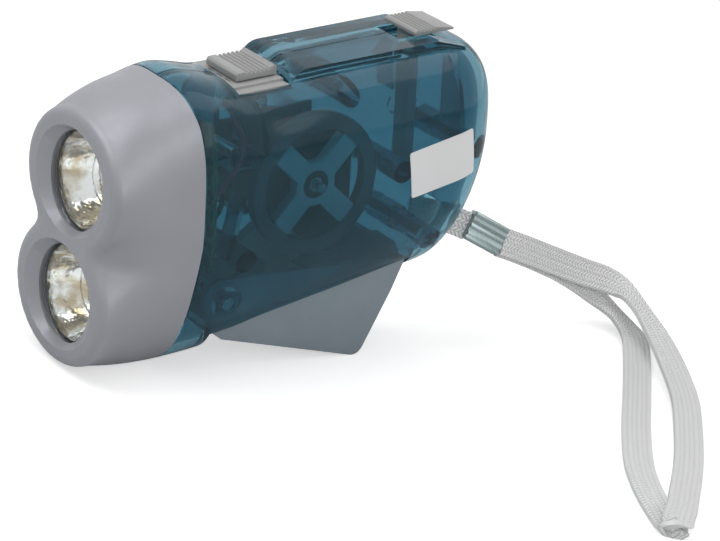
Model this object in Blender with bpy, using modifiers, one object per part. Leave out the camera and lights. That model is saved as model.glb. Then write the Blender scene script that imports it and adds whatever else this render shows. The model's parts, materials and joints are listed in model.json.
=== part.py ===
"""A squeeze dynamo flashlight: a figure-eight head with two lamps, a clamshell housing round a
hand-cranked generator, a squeeze lever below, two sliders on top and a flat wrist strap.

Lengths are metres. Every piece is placed in the torch's own axes: X runs out of the lamps, Y to
the torch's left, Z up, with the origin at the mouth of the upper lamp. One empty then pitches
the whole torch so that it stands on the front of its belly and the rear corner of its lever.
"""

import bpy
import bmesh
from math import acos, asin, atan2, cos, hypot, pi, radians, sin, tan
from mathutils import Matrix, Vector

# Fits
GAP = 0.0003
RUNNING_GAP = 0.0001
SIDE_GAP = 0.0007
OVERRUN = 0.003
SINK = 0.0006

# Housing
BODY_LENGTH = 0.103
TOP_HEIGHT = 0.0223
BOTTOM_DEPTH = 0.0443
HALF_WIDTH = 0.0185
WIDEST_DROP = 0.004
WALL = 0.0017
REAR_CORNER = 0.0165
UPPER_EXPONENT = 3.0
LOWER_EXPONENT = 2.2
RING_POINTS = 44
HOUSING_START = 0.008
REAR_THINNING_START = 0.087

# Rows run from the lamps to the rear: length, top, bottom and middle as shares of BODY_LENGTH,
# TOP_HEIGHT, BOTTOM_DEPTH and WIDEST_DROP.
PROFILE_SHARES = (
    (0.000, 0.870, 0.985, 1.0),
    (0.097, 0.845, 0.995, 1.0),
    (0.150, 0.850, 0.998, 1.0),
    (0.194, 0.885, 1.000, 1.0),
    (0.233, 0.905, 1.000, 1.0),
    (0.272, 0.870, 0.997, 1.0),
    (0.330, 0.800, 0.985, 1.0),
    (0.388, 0.775, 0.960, 1.0),
    (0.485, 0.800, 0.930, 1.0),
    (0.583, 0.807, 0.900, 1.0),
    (0.767, 0.807, 0.835, 1.0),
    (0.835, 0.803, 0.815, 1.0),
    (0.874, 0.795, 0.760, 1.0),
    (0.903, 0.775, 0.675, 0.85),
    (0.932, 0.740, 0.550, 0.62),
    (0.961, 0.630, 0.375, 0.36),
    (0.981, 0.470, 0.225, 0.18),
    (0.994, 0.310, 0.105, 0.06),
    (1.000, 0.200, 0.040, 0.0),
)
HOUSING_STATION_SHARES = (
    0.078, 0.12, 0.16, 0.194, 0.233, 0.272, 0.300, 0.330, 0.360, 0.41, 0.485, 0.583, 0.70,
    0.80, 0.845, 0.874, 0.903, 0.932, 0.958, 0.978, 0.991, 0.998, 1.0,
)

# Head
LAMP_SPACING = 0.02518
HEAD_TILT = radians(6.84)
HEAD_DEPTH = 0.020
RIM_RADIUS = 0.0151
RIM_HALF_WIDTH = 0.0188
RIM_SETBACK = 0.002
LIP_ROUNDING = 0.002
WAIST_BLEND = 0.0052
HEAD_SWELL_EXPONENT = 2.6
HEAD_WALL_FRONT = 0.0026
HEAD_STATION_SHARES = (
    0.0, 0.008, 0.03, 0.06, 0.10, 0.17, 0.25, 0.35, 0.47, 0.60, 0.75, 0.90, 1.1, 1.3,
)
SEAM_DEPTH = 0.0217

# Rows run from below the belly to above the top: setback as a share of SEAM_DEPTH, then the
# height above the belly as a share of TOP_HEIGHT + BOTTOM_DEPTH.
SEAM_SHARES = (
    (0.20, -0.06), (0.539, -0.0015), (0.742, 0.009), (0.857, 0.078), (0.880, 0.167), (0.931, 0.329),
    (0.986, 0.473), (0.995, 0.644), (1.0, 0.758), (0.995, 0.863), (0.949, 0.9595), (0.853, 0.9955),
    (0.691, 1.017), (0.40, 1.06),
)

# Lamps
MOUTH_HALF_WIDTH = 0.0142
MOUTH_HALF_HEIGHT = 0.0115
BOWL_DEPTH = 0.0022
LENS_LIP = 0.0005
BOWL_INNER_RADIUS = 0.0106
LAMP_TUBE_RADIUS = 0.0123
LAMP_TUBE_START = 0.0015
LAMP_TUBE_END = 0.016
LAMP_POCKET_RADIUS = 0.0114
LENS_THICKNESS = 0.0012
REFLECTOR_DEPTH = 0.0090
REFLECTOR_WALL = 0.0008
REFLECTOR_HOLE_RADIUS = 0.0027
LED_RADIUS = 0.0024
LED_FLANGE_RADIUS = 0.0029
LED_FLANGE_THICKNESS = 0.0008
LED_LENGTH = 0.0070
LED_BOARD_THICKNESS = 0.0012
LED_BOARD_HALF_WIDTH = 0.0105
LED_BOARD_HALF_HEIGHT = 0.0225

# Top panel, between the two switches
PANEL_HALF_WIDTH = 0.0100
PANEL_TOP = 0.0189
PANEL_FRONT = 0.0473
PANEL_ROUNDING = 0.0045
PANEL_FLAT_END = 0.086
PANEL_END = 0.0935
PANEL_END_DROP = 0.0024
PANEL_DEPTH = 0.0035

# On-off switch
WELL_FRONT = 0.0340
WELL_REAR = 0.0471
WELL_HALF_WIDTH = 0.0105
WELL_FLOOR = 0.0150
PLATE_THICKNESS = 0.0010
PLATFORM_HALF_WIDTH = 0.0079
PLATFORM_HEIGHT = 0.0006
BUTTON_FRONT = 0.0363
BUTTON_REAR = 0.0464
BUTTON_HALF_WIDTH = 0.0059
BUTTON_HEIGHT = 0.0018
BUTTON_EDGE = 0.0005
BUTTON_LAND = 0.0024
BUTTON_LIP = 0.0013
BUTTON_LIP_RISE = 0.0005
RIB_DEPTH = 0.0005
RIB_SHARES = (0.15, 0.45, 0.65)
BUTTON_RIBS = 6
SWITCH_TRAVEL = 0.0020
STEM_LENGTH = 0.0044
STEM_HALF_WIDTH = 0.0015
SIDE_SLOT_WIDTH = 0.0021
SIDE_SLOT_LENGTH = 0.0006
SIDE_SLOT_PITCH = 0.0033
SWITCH_BODY_LENGTH = 0.0085
SWITCH_BODY_HALF_WIDTH = 0.0035
SWITCH_BODY_HEIGHT = 0.0036
ACTUATOR_LENGTH = 0.0014
ACTUATOR_HEIGHT = 0.0020

# Lock slider
LOCK_FRONT = 0.0827
LOCK_REAR = 0.0932
LOCK_HALF_WIDTH = 0.0058
LOCK_HEIGHT = 0.0013
LOCK_TAIL = 0.0005
LOCK_WEDGE_START = 0.0885
LOCK_RIBS = 5
LOCK_TRAVEL = 0.0032
LOCK_SLOT_HALF_WIDTH = 0.0044
LEG_FRONT = 0.0838
LEG_THICKNESS = 0.0024
LEG_HALF_WIDTH = 0.0024
LEG_BOTTOM = 0.0138
NOSE_LENGTH = 0.0032
NOSE_THICKNESS = 0.0019
FLANGE_TOP = 0.0152
FLANGE_THICKNESS = 0.0010
FLANGE_HALF_WIDTH = 0.0062
FLANGE_LENGTH = 0.0050

# Lever
PIVOT_X = -0.0308
PIVOT_Z = -0.0295
SQUEEZE_ANGLE = radians(24)
LEVER_HALF_WIDTH = 0.0105
LEVER_WALL = 0.0016
EAR_RADIUS = 0.0043
PIN_RADIUS = 0.0015
PIN_BOSS_RADIUS = 0.0034
LEVER_FRONT_BELOW = 0.0078
LEVER_NOSE_BELOW = 0.0103
LEVER_NOSE_AHEAD = 0.0023
LEVER_NOSE_BACK = 0.0006
LEVER_BELLY_LENGTH = 0.0392
LEVER_BELLY_SLOPE = radians(20.2)
LEVER_CORNER_RADIUS = 0.0028
LEVER_REAR_BACK = 0.0458
LEVER_REAR_BELOW = 0.0093
LEVER_TOP_BACK = 0.0497
LEVER_TOP_BELOW = 0.0012
LEDGE_REACH = 0.0015
LEDGE_THICKNESS = 0.0012
LEDGE_HALF_WIDTH = 0.0040
SLOT_FRONT_GAP = 0.0006
SLOT_REAR_GAP = 0.0006
SLOT_TOP = -0.0270
BULKHEAD_THICKNESS = 0.0015
BULKHEAD_TOP = -0.0350

# Gears
PRESSURE_ANGLE = radians(25)
ADDENDUM_SHARE = 0.9
DEDENDUM_SHARE = 1.15
THINNING_SHARE = 0.13
FIRST_MODULE = 0.001
SECOND_MODULE = 0.0005
SECTOR_TEETH = 52
PINION_TEETH = 10
WHEEL_TEETH = 32
FIRST_SHAFT_ANGLE = radians(168)
SECTOR_FIRST_ANGLE = radians(154)
SECTOR_LAST_ANGLE = radians(196)
SECTOR_HUB_RADIUS = 0.0036
NECK_SHARE = 0.45
FOOT_SHARE = 0.85
WINDOW_SHARES = (0.55, 0.12, 0.20)
SECTOR_LOW = -0.0025
SECTOR_HIGH = 0.0005
WHEEL_WIDTH = 0.0020
PINION_WIDTH = 0.0028
FIRST_WHEEL_LOW = -0.0056
SECOND_WHEEL_LOW = 0.0009
AXLE_RADIUS = 0.0010

# Rotor, seen through the left side
ROTOR_X = -0.0521
ROTOR_Z = -0.0063
FLYWHEEL_RADIUS = 0.0159
FLYWHEEL_RIM = 0.0032
FLYWHEEL_HUB_RADIUS = 0.0050
FLYWHEEL_SPOKE_WIDTH = 0.0050
FLYWHEEL_LOW = 0.0108
FLYWHEEL_HIGH = 0.0135
SHAFT_END = 0.0158
MAGNET_RADIUS = 0.0050
MAGNET_LOW = 0.0035
MAGNET_HIGH = 0.0071
CORE_GAP = 0.0005
CORE_POLE_THICKNESS = 0.0025
CORE_LOW = 0.0033
CORE_HIGH = 0.0053
CORE_WINDOW_FRONT = 0.0410
CORE_FRONT = 0.0380
CORE_WINDOW_HALF = 0.0050
CORE_LEG = 0.0026
BOBBIN_HALF_DEPTH = 0.0029
BOBBIN_HALF_LENGTH = 0.0031
BOBBIN_FLANGE = 0.0008
BOBBIN_WALL = 0.0006

# Gear frame
FRAME_PLATE_IN = 0.0074
FRAME_PLATE_OUT = 0.0084
AXLE_END = 0.0086
SPACER_RADIUS = 0.0015
SPACER_PLACES = ((-0.0360, 0.0015), (-0.0625, 0.0005))
FRAME_POST_RADIUS = 0.0021
FRAME_REAR = -0.0648
FRAME_FRONT = -0.0396
FRAME_TOP = 0.0032
FRAME_MARGIN = 0.0025
FRAME_CHAMFER = 0.0060

# Screws: x and z of each, then which has the larger left boss
SCREW_PLACES = (
    (-0.0334, -0.0193),
    (-0.0730, -0.0066),
    (-0.0950, -0.0060),
    (-0.0852, -0.0270),
    (-0.0600, 0.0125),
)
SCREW_BOSS_RADIUS = 0.0026
SCREW_SEAT_RADIUS = 0.0030
SCREW_PILOT_RADIUS = 0.0010
SCREW_SHANK_RADIUS = 0.0008
SCREW_HEAD_RADIUS = 0.0020
SCREW_HEAD_HEIGHT = 0.0015
SCREW_SEAT_DEPTH = 0.0045
SCREW_REACH = 0.0070
SCREW_PILOT_DEPTH = 0.0090

# Electrical parts
BOARD_X = -0.0242
BOARD_THICKNESS = 0.0012
BOARD_TOP = 0.0125
BOARD_BOTTOM = -0.0200
RECTIFIER_SIZE = 0.0046
RECTIFIER_HEIGHT = 0.0020
RECTIFIER_Y = -0.0040
RECTIFIER_Z = -0.0010
CAPACITOR_RADIUS = 0.0022
CAPACITOR_LENGTH = 0.0070
CAPACITOR_Y = 0.0050
CAPACITOR_Z = -0.0055
CELL_X = -0.0332
CELL_Z = -0.0085
CELL_RADIUS = 0.0058
CELL_LENGTH = 0.0110
CELL_INNER_END = 0.0020
CUP_WALL = 0.0011
CUP_START = 0.0090
CONTACT_THICKNESS = 0.0004
CONTACT_HALF = 0.0045
WIRE_RADIUS = 0.0006
SPRING_RADIUS = 0.0029
SPRING_WIRE_RADIUS = 0.0004
SPRING_TURNS = 3
SPRING_START = radians(20)
SPRING_UPPER_LEG = 0.0066
SPRING_LOWER_LEG = 0.0090
SPRING_INNER_Y = -0.0046

# Ribs of the housing halves
SWITCH_RIB_X = -0.0375
SWITCH_RIB_THICKNESS = 0.0014
SWITCH_RIB_TOP = 0.0137
SWITCH_RIB_BOTTOM = 0.0042
BAR_TOP = (-0.0318, -0.0043)
BAR_BOTTOM = (-0.0285, -0.0176)
BAR_WIDTH = 0.0012
BAR_START = 0.0125
LEG_RIB_X = -0.0885
LEG_RIB_THICKNESS = 0.0012
LEG_RIB_START = 0.0090
LEG_RIB_TOP = 0.0150
LEG_RIB_BOTTOM = 0.0010

# Blank label on the left side
LABEL_LENGTH = 0.0176
LABEL_HEIGHT = 0.0112
LABEL_X = -0.0828
LABEL_Z = -0.0061
LABEL_TILT = radians(-8)
LABEL_THICKNESS = 0.0002
LABEL_COLUMNS = 8
LABEL_ROWS = 5

# Wrist strap: its width is the diameter of its stand-in. Routes are in the part's own axes.
STRAP_RADIUS = 0.00325
STRAP_EXIT_X = -0.0930
STRAP_EXIT_Z = -0.0272
STRAP_EXIT_SLOPE = radians(-19)
STRAP_EXIT_LENGTH = 0.0120
CRIMP_HALF_WIDTH = 0.0033
CRIMP_HALF_THICKNESS = 0.0017
STUB_ROUTE = (
    (-0.0415, 0.0, 0.0303),
    (-0.0463, 0.0002, 0.0295),
    (-0.0510, 0.0012, 0.0287),
    (-0.0547, 0.0040, 0.0282),
)
STRAP_ROUTE = (
    (-0.0650, 0.0072, 0.0236),
    (-0.0744, 0.0070, 0.0202),
    (-0.0863, 0.0057, 0.0156),
    (-0.0980, 0.0053, 0.0102),
    (-0.1038, 0.0073, 0.0072),
    (-0.1047, 0.0122, 0.0052),
    (-0.0988, 0.0225, 0.0040),
    (-0.0881, 0.0360, 0.0036),
    (-0.0738, 0.0518, 0.0035),
    (-0.0605, 0.0662, 0.0035),
    (-0.0490, 0.0799, 0.0035),
    (-0.0423, 0.0901, 0.0035),
    (-0.0385, 0.0962, 0.0035),
    (-0.0366, 0.0996, 0.0035),
    (-0.0362, 0.1028, 0.0035),
    (-0.0381, 0.1052, 0.0035),
    (-0.0412, 0.1050, 0.0035),
    (-0.0440, 0.1024, 0.0035),
    (-0.0470, 0.0979, 0.0035),
    (-0.0520, 0.0926, 0.0035),
    (-0.0612, 0.0829, 0.0035),
    (-0.0738, 0.0692, 0.0035),
    (-0.0864, 0.0545, 0.0035),
    (-0.0981, 0.0378, 0.0035),
    (-0.1024, 0.0310, 0.0035),
)

# Stance: the belly is cut flat where it is lowest
REST_CUT = 0.0003
FLAT_BACK = 0.012
FLAT_DEPTH = 0.010

# Smoothness
ROUND_STEPS = 32
SMALL_STEPS = 20
AUTO_SMOOTH = radians(35)


def new_collection(name):
    found = bpy.data.collections.new(name)
    bpy.context.scene.collection.children.link(found)
    return found


for old in list(bpy.data.objects):
    bpy.data.objects.remove(old, do_unlink=True)
PARTS = new_collection("squeeze_dynamo_flashlight")
CUTTERS = new_collection("cutters")


def empty(name, parent=None):
    made = bpy.data.objects.new(name, None)
    PARTS.objects.link(made)
    made.parent = parent
    return made


TORCH = empty("torch_frame")
LAMPS = empty("lamp_frame", TORCH)
LAMPS.rotation_euler = (0, -HEAD_TILT, 0)


def material(name, colour, roughness, metallic=0.0, transmission=0.0):
    made = bpy.data.materials.new(name)
    made.use_nodes = True
    shader = made.node_tree.nodes["Principled BSDF"]
    shader.inputs["Base Color"].default_value = (*colour, 1)
    shader.inputs["Roughness"].default_value = roughness
    shader.inputs["Metallic"].default_value = metallic
    shader.inputs["Transmission Weight"].default_value = transmission
    made.diffuse_color = (*colour, 1)
    return made


SILVER_PAINT = material("silver_grey_plastic", (0.36, 0.36, 0.39), 0.45, 0.25)
TEAL_PLASTIC = material("teal_translucent_plastic", (0.02, 0.12, 0.17), 0.10, 0, 0.6)
WARM_GREY = material("warm_grey_plastic", (0.42, 0.41, 0.40), 0.5)
LEVER_GREY = material("lever_grey_plastic", (0.27, 0.29, 0.32), 0.5)
CHROME = material("chrome", (0.8, 0.8, 0.8), 0.08, 1.0)
CLEAR = material("clear_plastic", (0.95, 0.97, 0.97), 0.03, 0, 0.95)
LED_WHITE = material("led_resin", (0.85, 0.87, 0.80), 0.15, 0, 0.4)
GREEN_BOARD = material("circuit_board_green", (0.03, 0.20, 0.08), 0.4)
BLACK = material("black_plastic", (0.015, 0.015, 0.017), 0.45)
STEEL = material("bright_steel", (0.62, 0.62, 0.62), 0.28, 1.0)
DARK_STEEL = material("laminated_steel", (0.22, 0.22, 0.23), 0.4, 0.9)
BRASS = material("brass", (0.70, 0.50, 0.20), 0.3, 1.0)
COPPER = material("enamelled_copper", (0.55, 0.20, 0.08), 0.3, 1.0)
NATURAL_NYLON = material("natural_nylon", (0.70, 0.70, 0.66), 0.5)
MAGNET_GREY = material("ferrite", (0.06, 0.06, 0.065), 0.6)
RED_WIRE = material("red_insulation", (0.55, 0.02, 0.03), 0.45)
BLACK_WIRE = material("black_insulation", (0.02, 0.02, 0.02), 0.45)
CAPACITOR_BLUE = material("capacitor_sleeve", (0.03, 0.06, 0.25), 0.3)
LABEL_WHITE = material("label_paper", (0.88, 0.88, 0.88), 0.55)
STRAP_WHITE = material("strap_braid", (0.80, 0.81, 0.82), 0.6)


def link(name, mesh, look=None, parent=TORCH):
    """Puts a mesh in the scene: as a piece if it has a look, and else as a hidden cutter."""
    made = bpy.data.objects.new(name, mesh)
    made.parent = parent
    if look is None:
        CUTTERS.objects.link(made)
        made.hide_render = True
        made.display_type = "WIRE"
        return made
    PARTS.objects.link(made)
    made.data.materials.append(look)
    made.data.shade_smooth()
    made.data.set_sharp_from_angle(angle=AUTO_SMOOTH)
    return made


def mesh_from(name, form):
    """A mesh from a bmesh, with its faces turned outwards."""
    bmesh.ops.recalc_face_normals(form, faces=form.faces)
    mesh = bpy.data.meshes.new(name)
    form.to_mesh(mesh)
    form.free()
    return mesh


def box(name, low, high, look=None, parent=TORCH):
    form = bmesh.new()
    size = [b - a for a, b in zip(low, high)]
    bmesh.ops.create_cube(form, size=1, matrix=Matrix.Diagonal((*size, 1)))
    made = link(name, mesh_from(name, form), look, parent)
    made.location = [(a + b) / 2 for a, b in zip(low, high)]
    return made


def rod(name, radius, low, high, x, z, look=None, steps=SMALL_STEPS, parent=TORCH):
    """A cylinder along Y from low to high."""
    form = bmesh.new()
    lying = Matrix.Rotation(pi / 2, 4, "X")
    bmesh.ops.create_cone(
        form,
        cap_ends=True,
        segments=steps,
        radius1=radius,
        radius2=radius,
        depth=high - low,
        matrix=lying,
    )
    made = link(name, mesh_from(name, form), look, parent)
    made.location = (x, (low + high) / 2, z)
    return made


def barrel(name, radius, start, end, y, z, look=None, steps=ROUND_STEPS, parent=LAMPS):
    """A cylinder along X from -start to -end."""
    form = bmesh.new()
    lying = Matrix.Rotation(pi / 2, 4, "Y")
    bmesh.ops.create_cone(
        form,
        cap_ends=True,
        segments=steps,
        radius1=radius,
        radius2=radius,
        depth=end - start,
        matrix=lying,
    )
    made = link(name, mesh_from(name, form), look, parent)
    made.location = (-(start + end) / 2, y, z)
    return made


def loft(name, rings, look=None, parent=TORCH):
    """A closed solid through rings of equally many points."""
    form = bmesh.new()
    rows = [[form.verts.new(point) for point in ring] for ring in rings]
    for near, far in zip(rows, rows[1:]):
        for k in range(len(near)):
            after = (k + 1) % len(near)
            form.faces.new((near[k], near[after], far[after], far[k]))
    form.faces.new(rows[0])
    form.faces.new(rows[-1])
    form.normal_update()
    bmesh.ops.triangulate(form, faces=form.faces)
    return link(name, mesh_from(name, form), look, parent)


def flat_piece(name, outlines, low, high, look=None, x=0.0, z=0.0, parent=TORCH):
    """Outlines in X and Z round (x, z), the first with the others as holes, from low to high in Y."""
    curve = bpy.data.curves.new(name, "CURVE")
    curve.dimensions = "2D"
    curve.fill_mode = "BOTH"
    curve.extrude = (high - low) / 2
    for outline in outlines:
        spline = curve.splines.new("POLY")
        spline.points.add(len(outline) - 1)
        for point, (across, up) in zip(spline.points, outline):
            point.co = (across, up, 0, 1)
        spline.use_cyclic_u = True
    guide = bpy.data.objects.new(name + "_outline", curve)
    CUTTERS.objects.link(guide)
    bpy.context.view_layer.update()
    graph = bpy.context.evaluated_depsgraph_get()
    form = bmesh.new()
    form.from_mesh(bpy.data.meshes.new_from_object(guide.evaluated_get(graph)))
    bpy.data.objects.remove(guide, do_unlink=True)
    bmesh.ops.remove_doubles(form, verts=form.verts, dist=1e-7)
    bmesh.ops.rotate(form, verts=form.verts, matrix=Matrix.Rotation(pi / 2, 3, "X"))
    made = link(name, mesh_from(name, form), look, parent)
    made.location = (x, (low + high) / 2, z)
    return made


def turned(name, profile, look, steps=ROUND_STEPS, parent=LAMPS):
    """Turns a closed profile of (distance behind the mouth, radius) about the X axis."""
    area = sum(a[0] * b[1] - b[0] * a[1] for a, b in zip(profile, profile[1:] + profile[:1]))
    ordered = profile if area < 0 else profile[::-1]
    mesh = bpy.data.meshes.new(name)
    edges = [(k, (k + 1) % len(ordered)) for k in range(len(ordered))]
    closed = all(radius > 0 for _, radius in ordered)
    if not closed:
        first = next(k for k, (_, radius) in enumerate(ordered) if radius == 0 and ordered[k - 1][1] == 0)
        ordered = ordered[first:] + ordered[:first]
        edges = edges[:-1]
    mesh.from_pydata([(radius, 0, -behind) for behind, radius in ordered], edges, [])
    made = link(name, mesh, look, parent)
    made.rotation_euler = (0, pi / 2, 0)
    screw = made.modifiers.new("turn", "SCREW")
    screw.axis = "Z"
    screw.steps = steps
    screw.render_steps = steps
    screw.use_merge_vertices = True
    screw.merge_threshold = 1e-6
    return made


def tube(name, points, radius, look, rounds=2, parent=TORCH):
    """A round wire through the points."""
    curve = bpy.data.curves.new(name, "CURVE")
    curve.dimensions = "3D"
    curve.bevel_depth = radius
    curve.bevel_resolution = rounds
    curve.use_fill_caps = True
    spline = curve.splines.new("POLY")
    spline.points.add(len(points) - 1)
    for point, place in zip(spline.points, points):
        point.co = (*place, 1)
    made = bpy.data.objects.new(name, curve)
    made.parent = parent
    PARTS.objects.link(made)
    curve.materials.append(look)
    return made


def combine(target, others, operation):
    for other in others:
        step = target.modifiers.new(other.name, "BOOLEAN")
        step.operation = operation
        step.object = other
        step.solver = "EXACT"


def cut(target, *others):
    combine(target, others, "DIFFERENCE")


def join(target, *others):
    combine(target, others, "UNION")


def arc(x, z, radius, start, stop, steps):
    """Points round (x, z), angles measured from +X towards +Z."""
    turn = (stop - start) / steps
    angles = [start + k * turn for k in range(steps + 1)]
    return [(x + radius * cos(angle), z + radius * sin(angle)) for angle in angles]


def circle(radius, steps=SMALL_STEPS, x=0.0, z=0.0):
    return arc(x, z, radius, 0, 2 * pi, steps)[:-1]


def fillet(before, corner, after, radius, steps):
    """The arc that rounds a corner, and the arc's centre."""
    here = Vector(corner)
    back = (Vector(before) - here).normalized()
    on = (Vector(after) - here).normalized()
    half = back.angle(on) / 2
    centre = here + (back + on).normalized() * radius / sin(half)
    start = here + back * radius / tan(half) - centre
    stop = here + on * radius / tan(half) - centre
    first = atan2(start.y, start.x)
    sweep = (atan2(stop.y, stop.x) - first + pi) % (2 * pi) - pi
    return arc(centre.x, centre.y, radius, first, first + sweep, steps), centre


def offset(points, distance):
    """Moves each side of an open outline to its left by a distance."""
    moved = []
    for k, point in enumerate(points):
        sides = []
        for a, b in ((k - 1, k), (k, k + 1)):
            if a >= 0 and b < len(points):
                run = Vector(points[b]) - Vector(points[a])
                sides.append(Vector((-run.y, run.x)).normalized())
        if len(sides) == 1:
            step = sides[0]
        else:
            step = (sides[0] + sides[1]) / (1 + sides[0].dot(sides[1]))
        moved.append(tuple(Vector(point) + step * distance))
    return moved


def smooth_value(knots, values, at):
    """A curve through the knots that never swings past them."""
    spans = [b - a for a, b in zip(knots, knots[1:])]
    rises = [(b - a) / span for a, b, span in zip(values, values[1:], spans)]
    slopes = [rises[0]]
    for before, after in zip(rises, rises[1:]):
        slopes.append(0 if before * after <= 0 else 2 * before * after / (before + after))
    slopes.append(rises[-1])
    k = max(0, min(len(spans) - 1, sum(at >= knot for knot in knots) - 1))
    t = (at - knots[k]) / spans[k]
    start = values[k] * (2 * t**3 - 3 * t**2 + 1) + slopes[k] * spans[k] * (t**3 - 2 * t**2 + t)
    return start + values[k + 1] * (3 * t**2 - 2 * t**3) + slopes[k + 1] * spans[k] * (t**3 - t**2)


def profile_at(behind):
    """Top, bottom, half width and height of the widest line at a distance behind the mouth."""
    columns = list(zip(*PROFILE_SHARES))
    share = behind / BODY_LENGTH
    top = TOP_HEIGHT * smooth_value(columns[0], columns[1], share)
    bottom = -BOTTOM_DEPTH * smooth_value(columns[0], columns[2], share)
    keep = smooth_value(columns[0], columns[3], share)
    middle = -keep * WIDEST_DROP + (1 - keep) * (top + bottom) / 2
    past = max(0.0, behind - (BODY_LENGTH - REAR_CORNER))
    half = HALF_WIDTH - REAR_CORNER + max(REAR_CORNER**2 - past**2, 0.0) ** 0.5
    return top, bottom, half, middle


def oval_test(behind, inset):
    top, bottom, half, middle = profile_at(behind)

    def outside(y, z):
        height, power = (top - middle, UPPER_EXPONENT) if z > middle else (middle - bottom, LOWER_EXPONENT)
        across = abs(y) / (half - inset)
        return across**power + (abs(z - middle) / (height - inset)) ** power - 1

    return outside


def eight_test(behind, inset):
    """Two ovals, one round each lamp, melted together at the waist."""
    narrower = RIM_RADIUS / RIM_HALF_WIDTH
    lip = max(0.0, 1 - behind / RIM_SETBACK)
    radius = RIM_RADIUS - inset - LIP_ROUNDING * (1 - (1 - lip**2) ** 0.5)

    def outside(y, z):
        upper = hypot(y * narrower, z) - radius
        lower = hypot(y * narrower, z + LAMP_SPACING) - radius
        blend = max(0.0, min(1.0, 0.5 + 0.5 * (lower - upper) / WAIST_BLEND))
        return lower + (upper - lower) * blend - WAIST_BLEND * blend * (1 - blend)

    return outside


def reach(outside, middle, angle):
    """How far the outline lies from (0, middle) at an angle."""
    near, far = 0.0, BODY_LENGTH
    for _ in range(36):
        half = (near + far) / 2
        if outside(half * cos(angle), middle + half * sin(angle)) < 0:
            near = half
        else:
            far = half
    return near


def ring(behind, inset=0.0, moved=0.0):
    """The section at a distance behind the mouth, which melts from the lamps' eight to an oval."""
    swell = max(0.0, min(1.0, (behind - RIM_SETBACK) / HEAD_DEPTH))
    oval_share = 1 - (1 - swell) ** HEAD_SWELL_EXPONENT
    top, bottom, _, _ = profile_at(behind)
    middle = oval_share * (top + bottom) / 2 - (1 - oval_share) * LAMP_SPACING / 2
    tilt = HEAD_TILT * (1 - swell)
    oval = oval_test(behind, inset)
    eight = eight_test(behind, inset)
    points = []
    for k in range(RING_POINTS):
        angle = 2 * pi * (k + 0.5) / RING_POINTS
        radius = reach(oval, middle, angle) * oval_share
        if oval_share < 1:
            radius += reach(eight, middle, angle) * (1 - oval_share)
        z = middle + radius * sin(angle)
        points.append((-behind - z * sin(tilt) + moved, radius * cos(angle), z * cos(tilt)))
    return points


def side_y(x, z, inset=0.0):
    """Where the left wall's outer face lies at (x, z)."""
    outside = oval_test(-x, inset)
    near, far = 0.0, 2 * HALF_WIDTH
    for _ in range(36):
        half = (near + far) / 2
        if outside(half, z) < 0:
            near = half
        else:
            far = half
    return near


def housing_rings(inset):
    """The housing's sections; the inner ones start ahead and are drawn in from the rear by the wall."""
    rings = []
    if inset:
        rings.append(ring(HOUSING_STATION_SHARES[0] * BODY_LENGTH - OVERRUN, inset))
    for share in HOUSING_STATION_SHARES:
        behind = share * BODY_LENGTH
        rear = max(0.0, (behind - REAR_THINNING_START) / (BODY_LENGTH - REAR_THINNING_START))
        rings.append(ring(behind, inset, inset * rear))
    return rings


def seam_region(name, ahead):
    """A block on one side of the seam between head and housing, half the gap away from it."""
    height = TOP_HEIGHT + BOTTOM_DEPTH
    shift = -GAP / 2 if ahead else GAP / 2
    line = [(-SEAM_DEPTH * back + shift, -BOTTOM_DEPTH + height * up) for back, up in SEAM_SHARES]
    far = SEAM_DEPTH if ahead else -2 * SEAM_DEPTH
    outline = line + [(far, line[-1][1]), (far, line[0][1])]
    return flat_piece(name, [outline], -2 * HALF_WIDTH, 2 * HALF_WIDTH)


def lever_outline():
    """The lever's side view, front to rear along its belly, then the corner arc's centre."""
    front = (PIVOT_X + LEVER_NOSE_AHEAD, PIVOT_Z - LEVER_FRONT_BELOW)
    nose = (PIVOT_X - LEVER_NOSE_BACK, PIVOT_Z - LEVER_NOSE_BELOW)
    run = Vector((-cos(LEVER_BELLY_SLOPE), -sin(LEVER_BELLY_SLOPE))) * LEVER_BELLY_LENGTH
    corner = (nose[0] + run.x, nose[1] + run.y)
    rear = (PIVOT_X - LEVER_REAR_BACK, PIVOT_Z - LEVER_REAR_BELOW)
    top = (PIVOT_X - LEVER_TOP_BACK, PIVOT_Z - LEVER_TOP_BELOW)
    rounded, centre = fillet(nose, corner, rear, LEVER_CORNER_RADIUS, 6)
    return front, nose, rounded, rear, top, corner, centre


def height_at(point, pitch):
    """How high a point in the torch's X and Z lies once the torch is pitched."""
    return point[1] * cos(pitch) - point[0] * sin(pitch)


def stance():
    """The pitch at which the belly's flat and the lever's rear corner touch one level plane."""
    corner = lever_outline()[6]
    bottom = RING_POINTS * 3 // 4
    belly = [ring(share * HEAD_DEPTH)[bottom] for share in HEAD_STATION_SHARES]
    belly += [ring(share * BODY_LENGTH)[bottom] for share in HOUSING_STATION_SHARES[2:8]]
    belly = [(x, z) for x, _, z in belly]
    level, steep = 0.0, radians(20)
    for _ in range(36):
        pitch = (level + steep) / 2
        rest = min(belly, key=lambda point: height_at(point, pitch))
        if height_at(rest, pitch) + REST_CUT < height_at(corner, pitch) - LEVER_CORNER_RADIUS:
            steep = pitch
        else:
            level = pitch
    return pitch, rest


PITCH, REST = stance()


# Shared cutters of the housing
def slot_half_width():
    return LEVER_HALF_WIDTH + SIDE_GAP


def floor_cutter(name):
    """Level with the ground once the torch is pitched, its top face through the belly's flat."""
    made = box(name, (-FLAT_BACK, -HALF_WIDTH, -FLAT_DEPTH), (FLAT_BACK, HALF_WIDTH, 0))
    down = Vector((-sin(PITCH), 0, cos(PITCH))) * (REST_CUT - FLAT_DEPTH / 2)
    made.location = Vector((REST[0], 0, REST[1])) + down
    made.rotation_euler = (0, -PITCH, 0)
    return made


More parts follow.
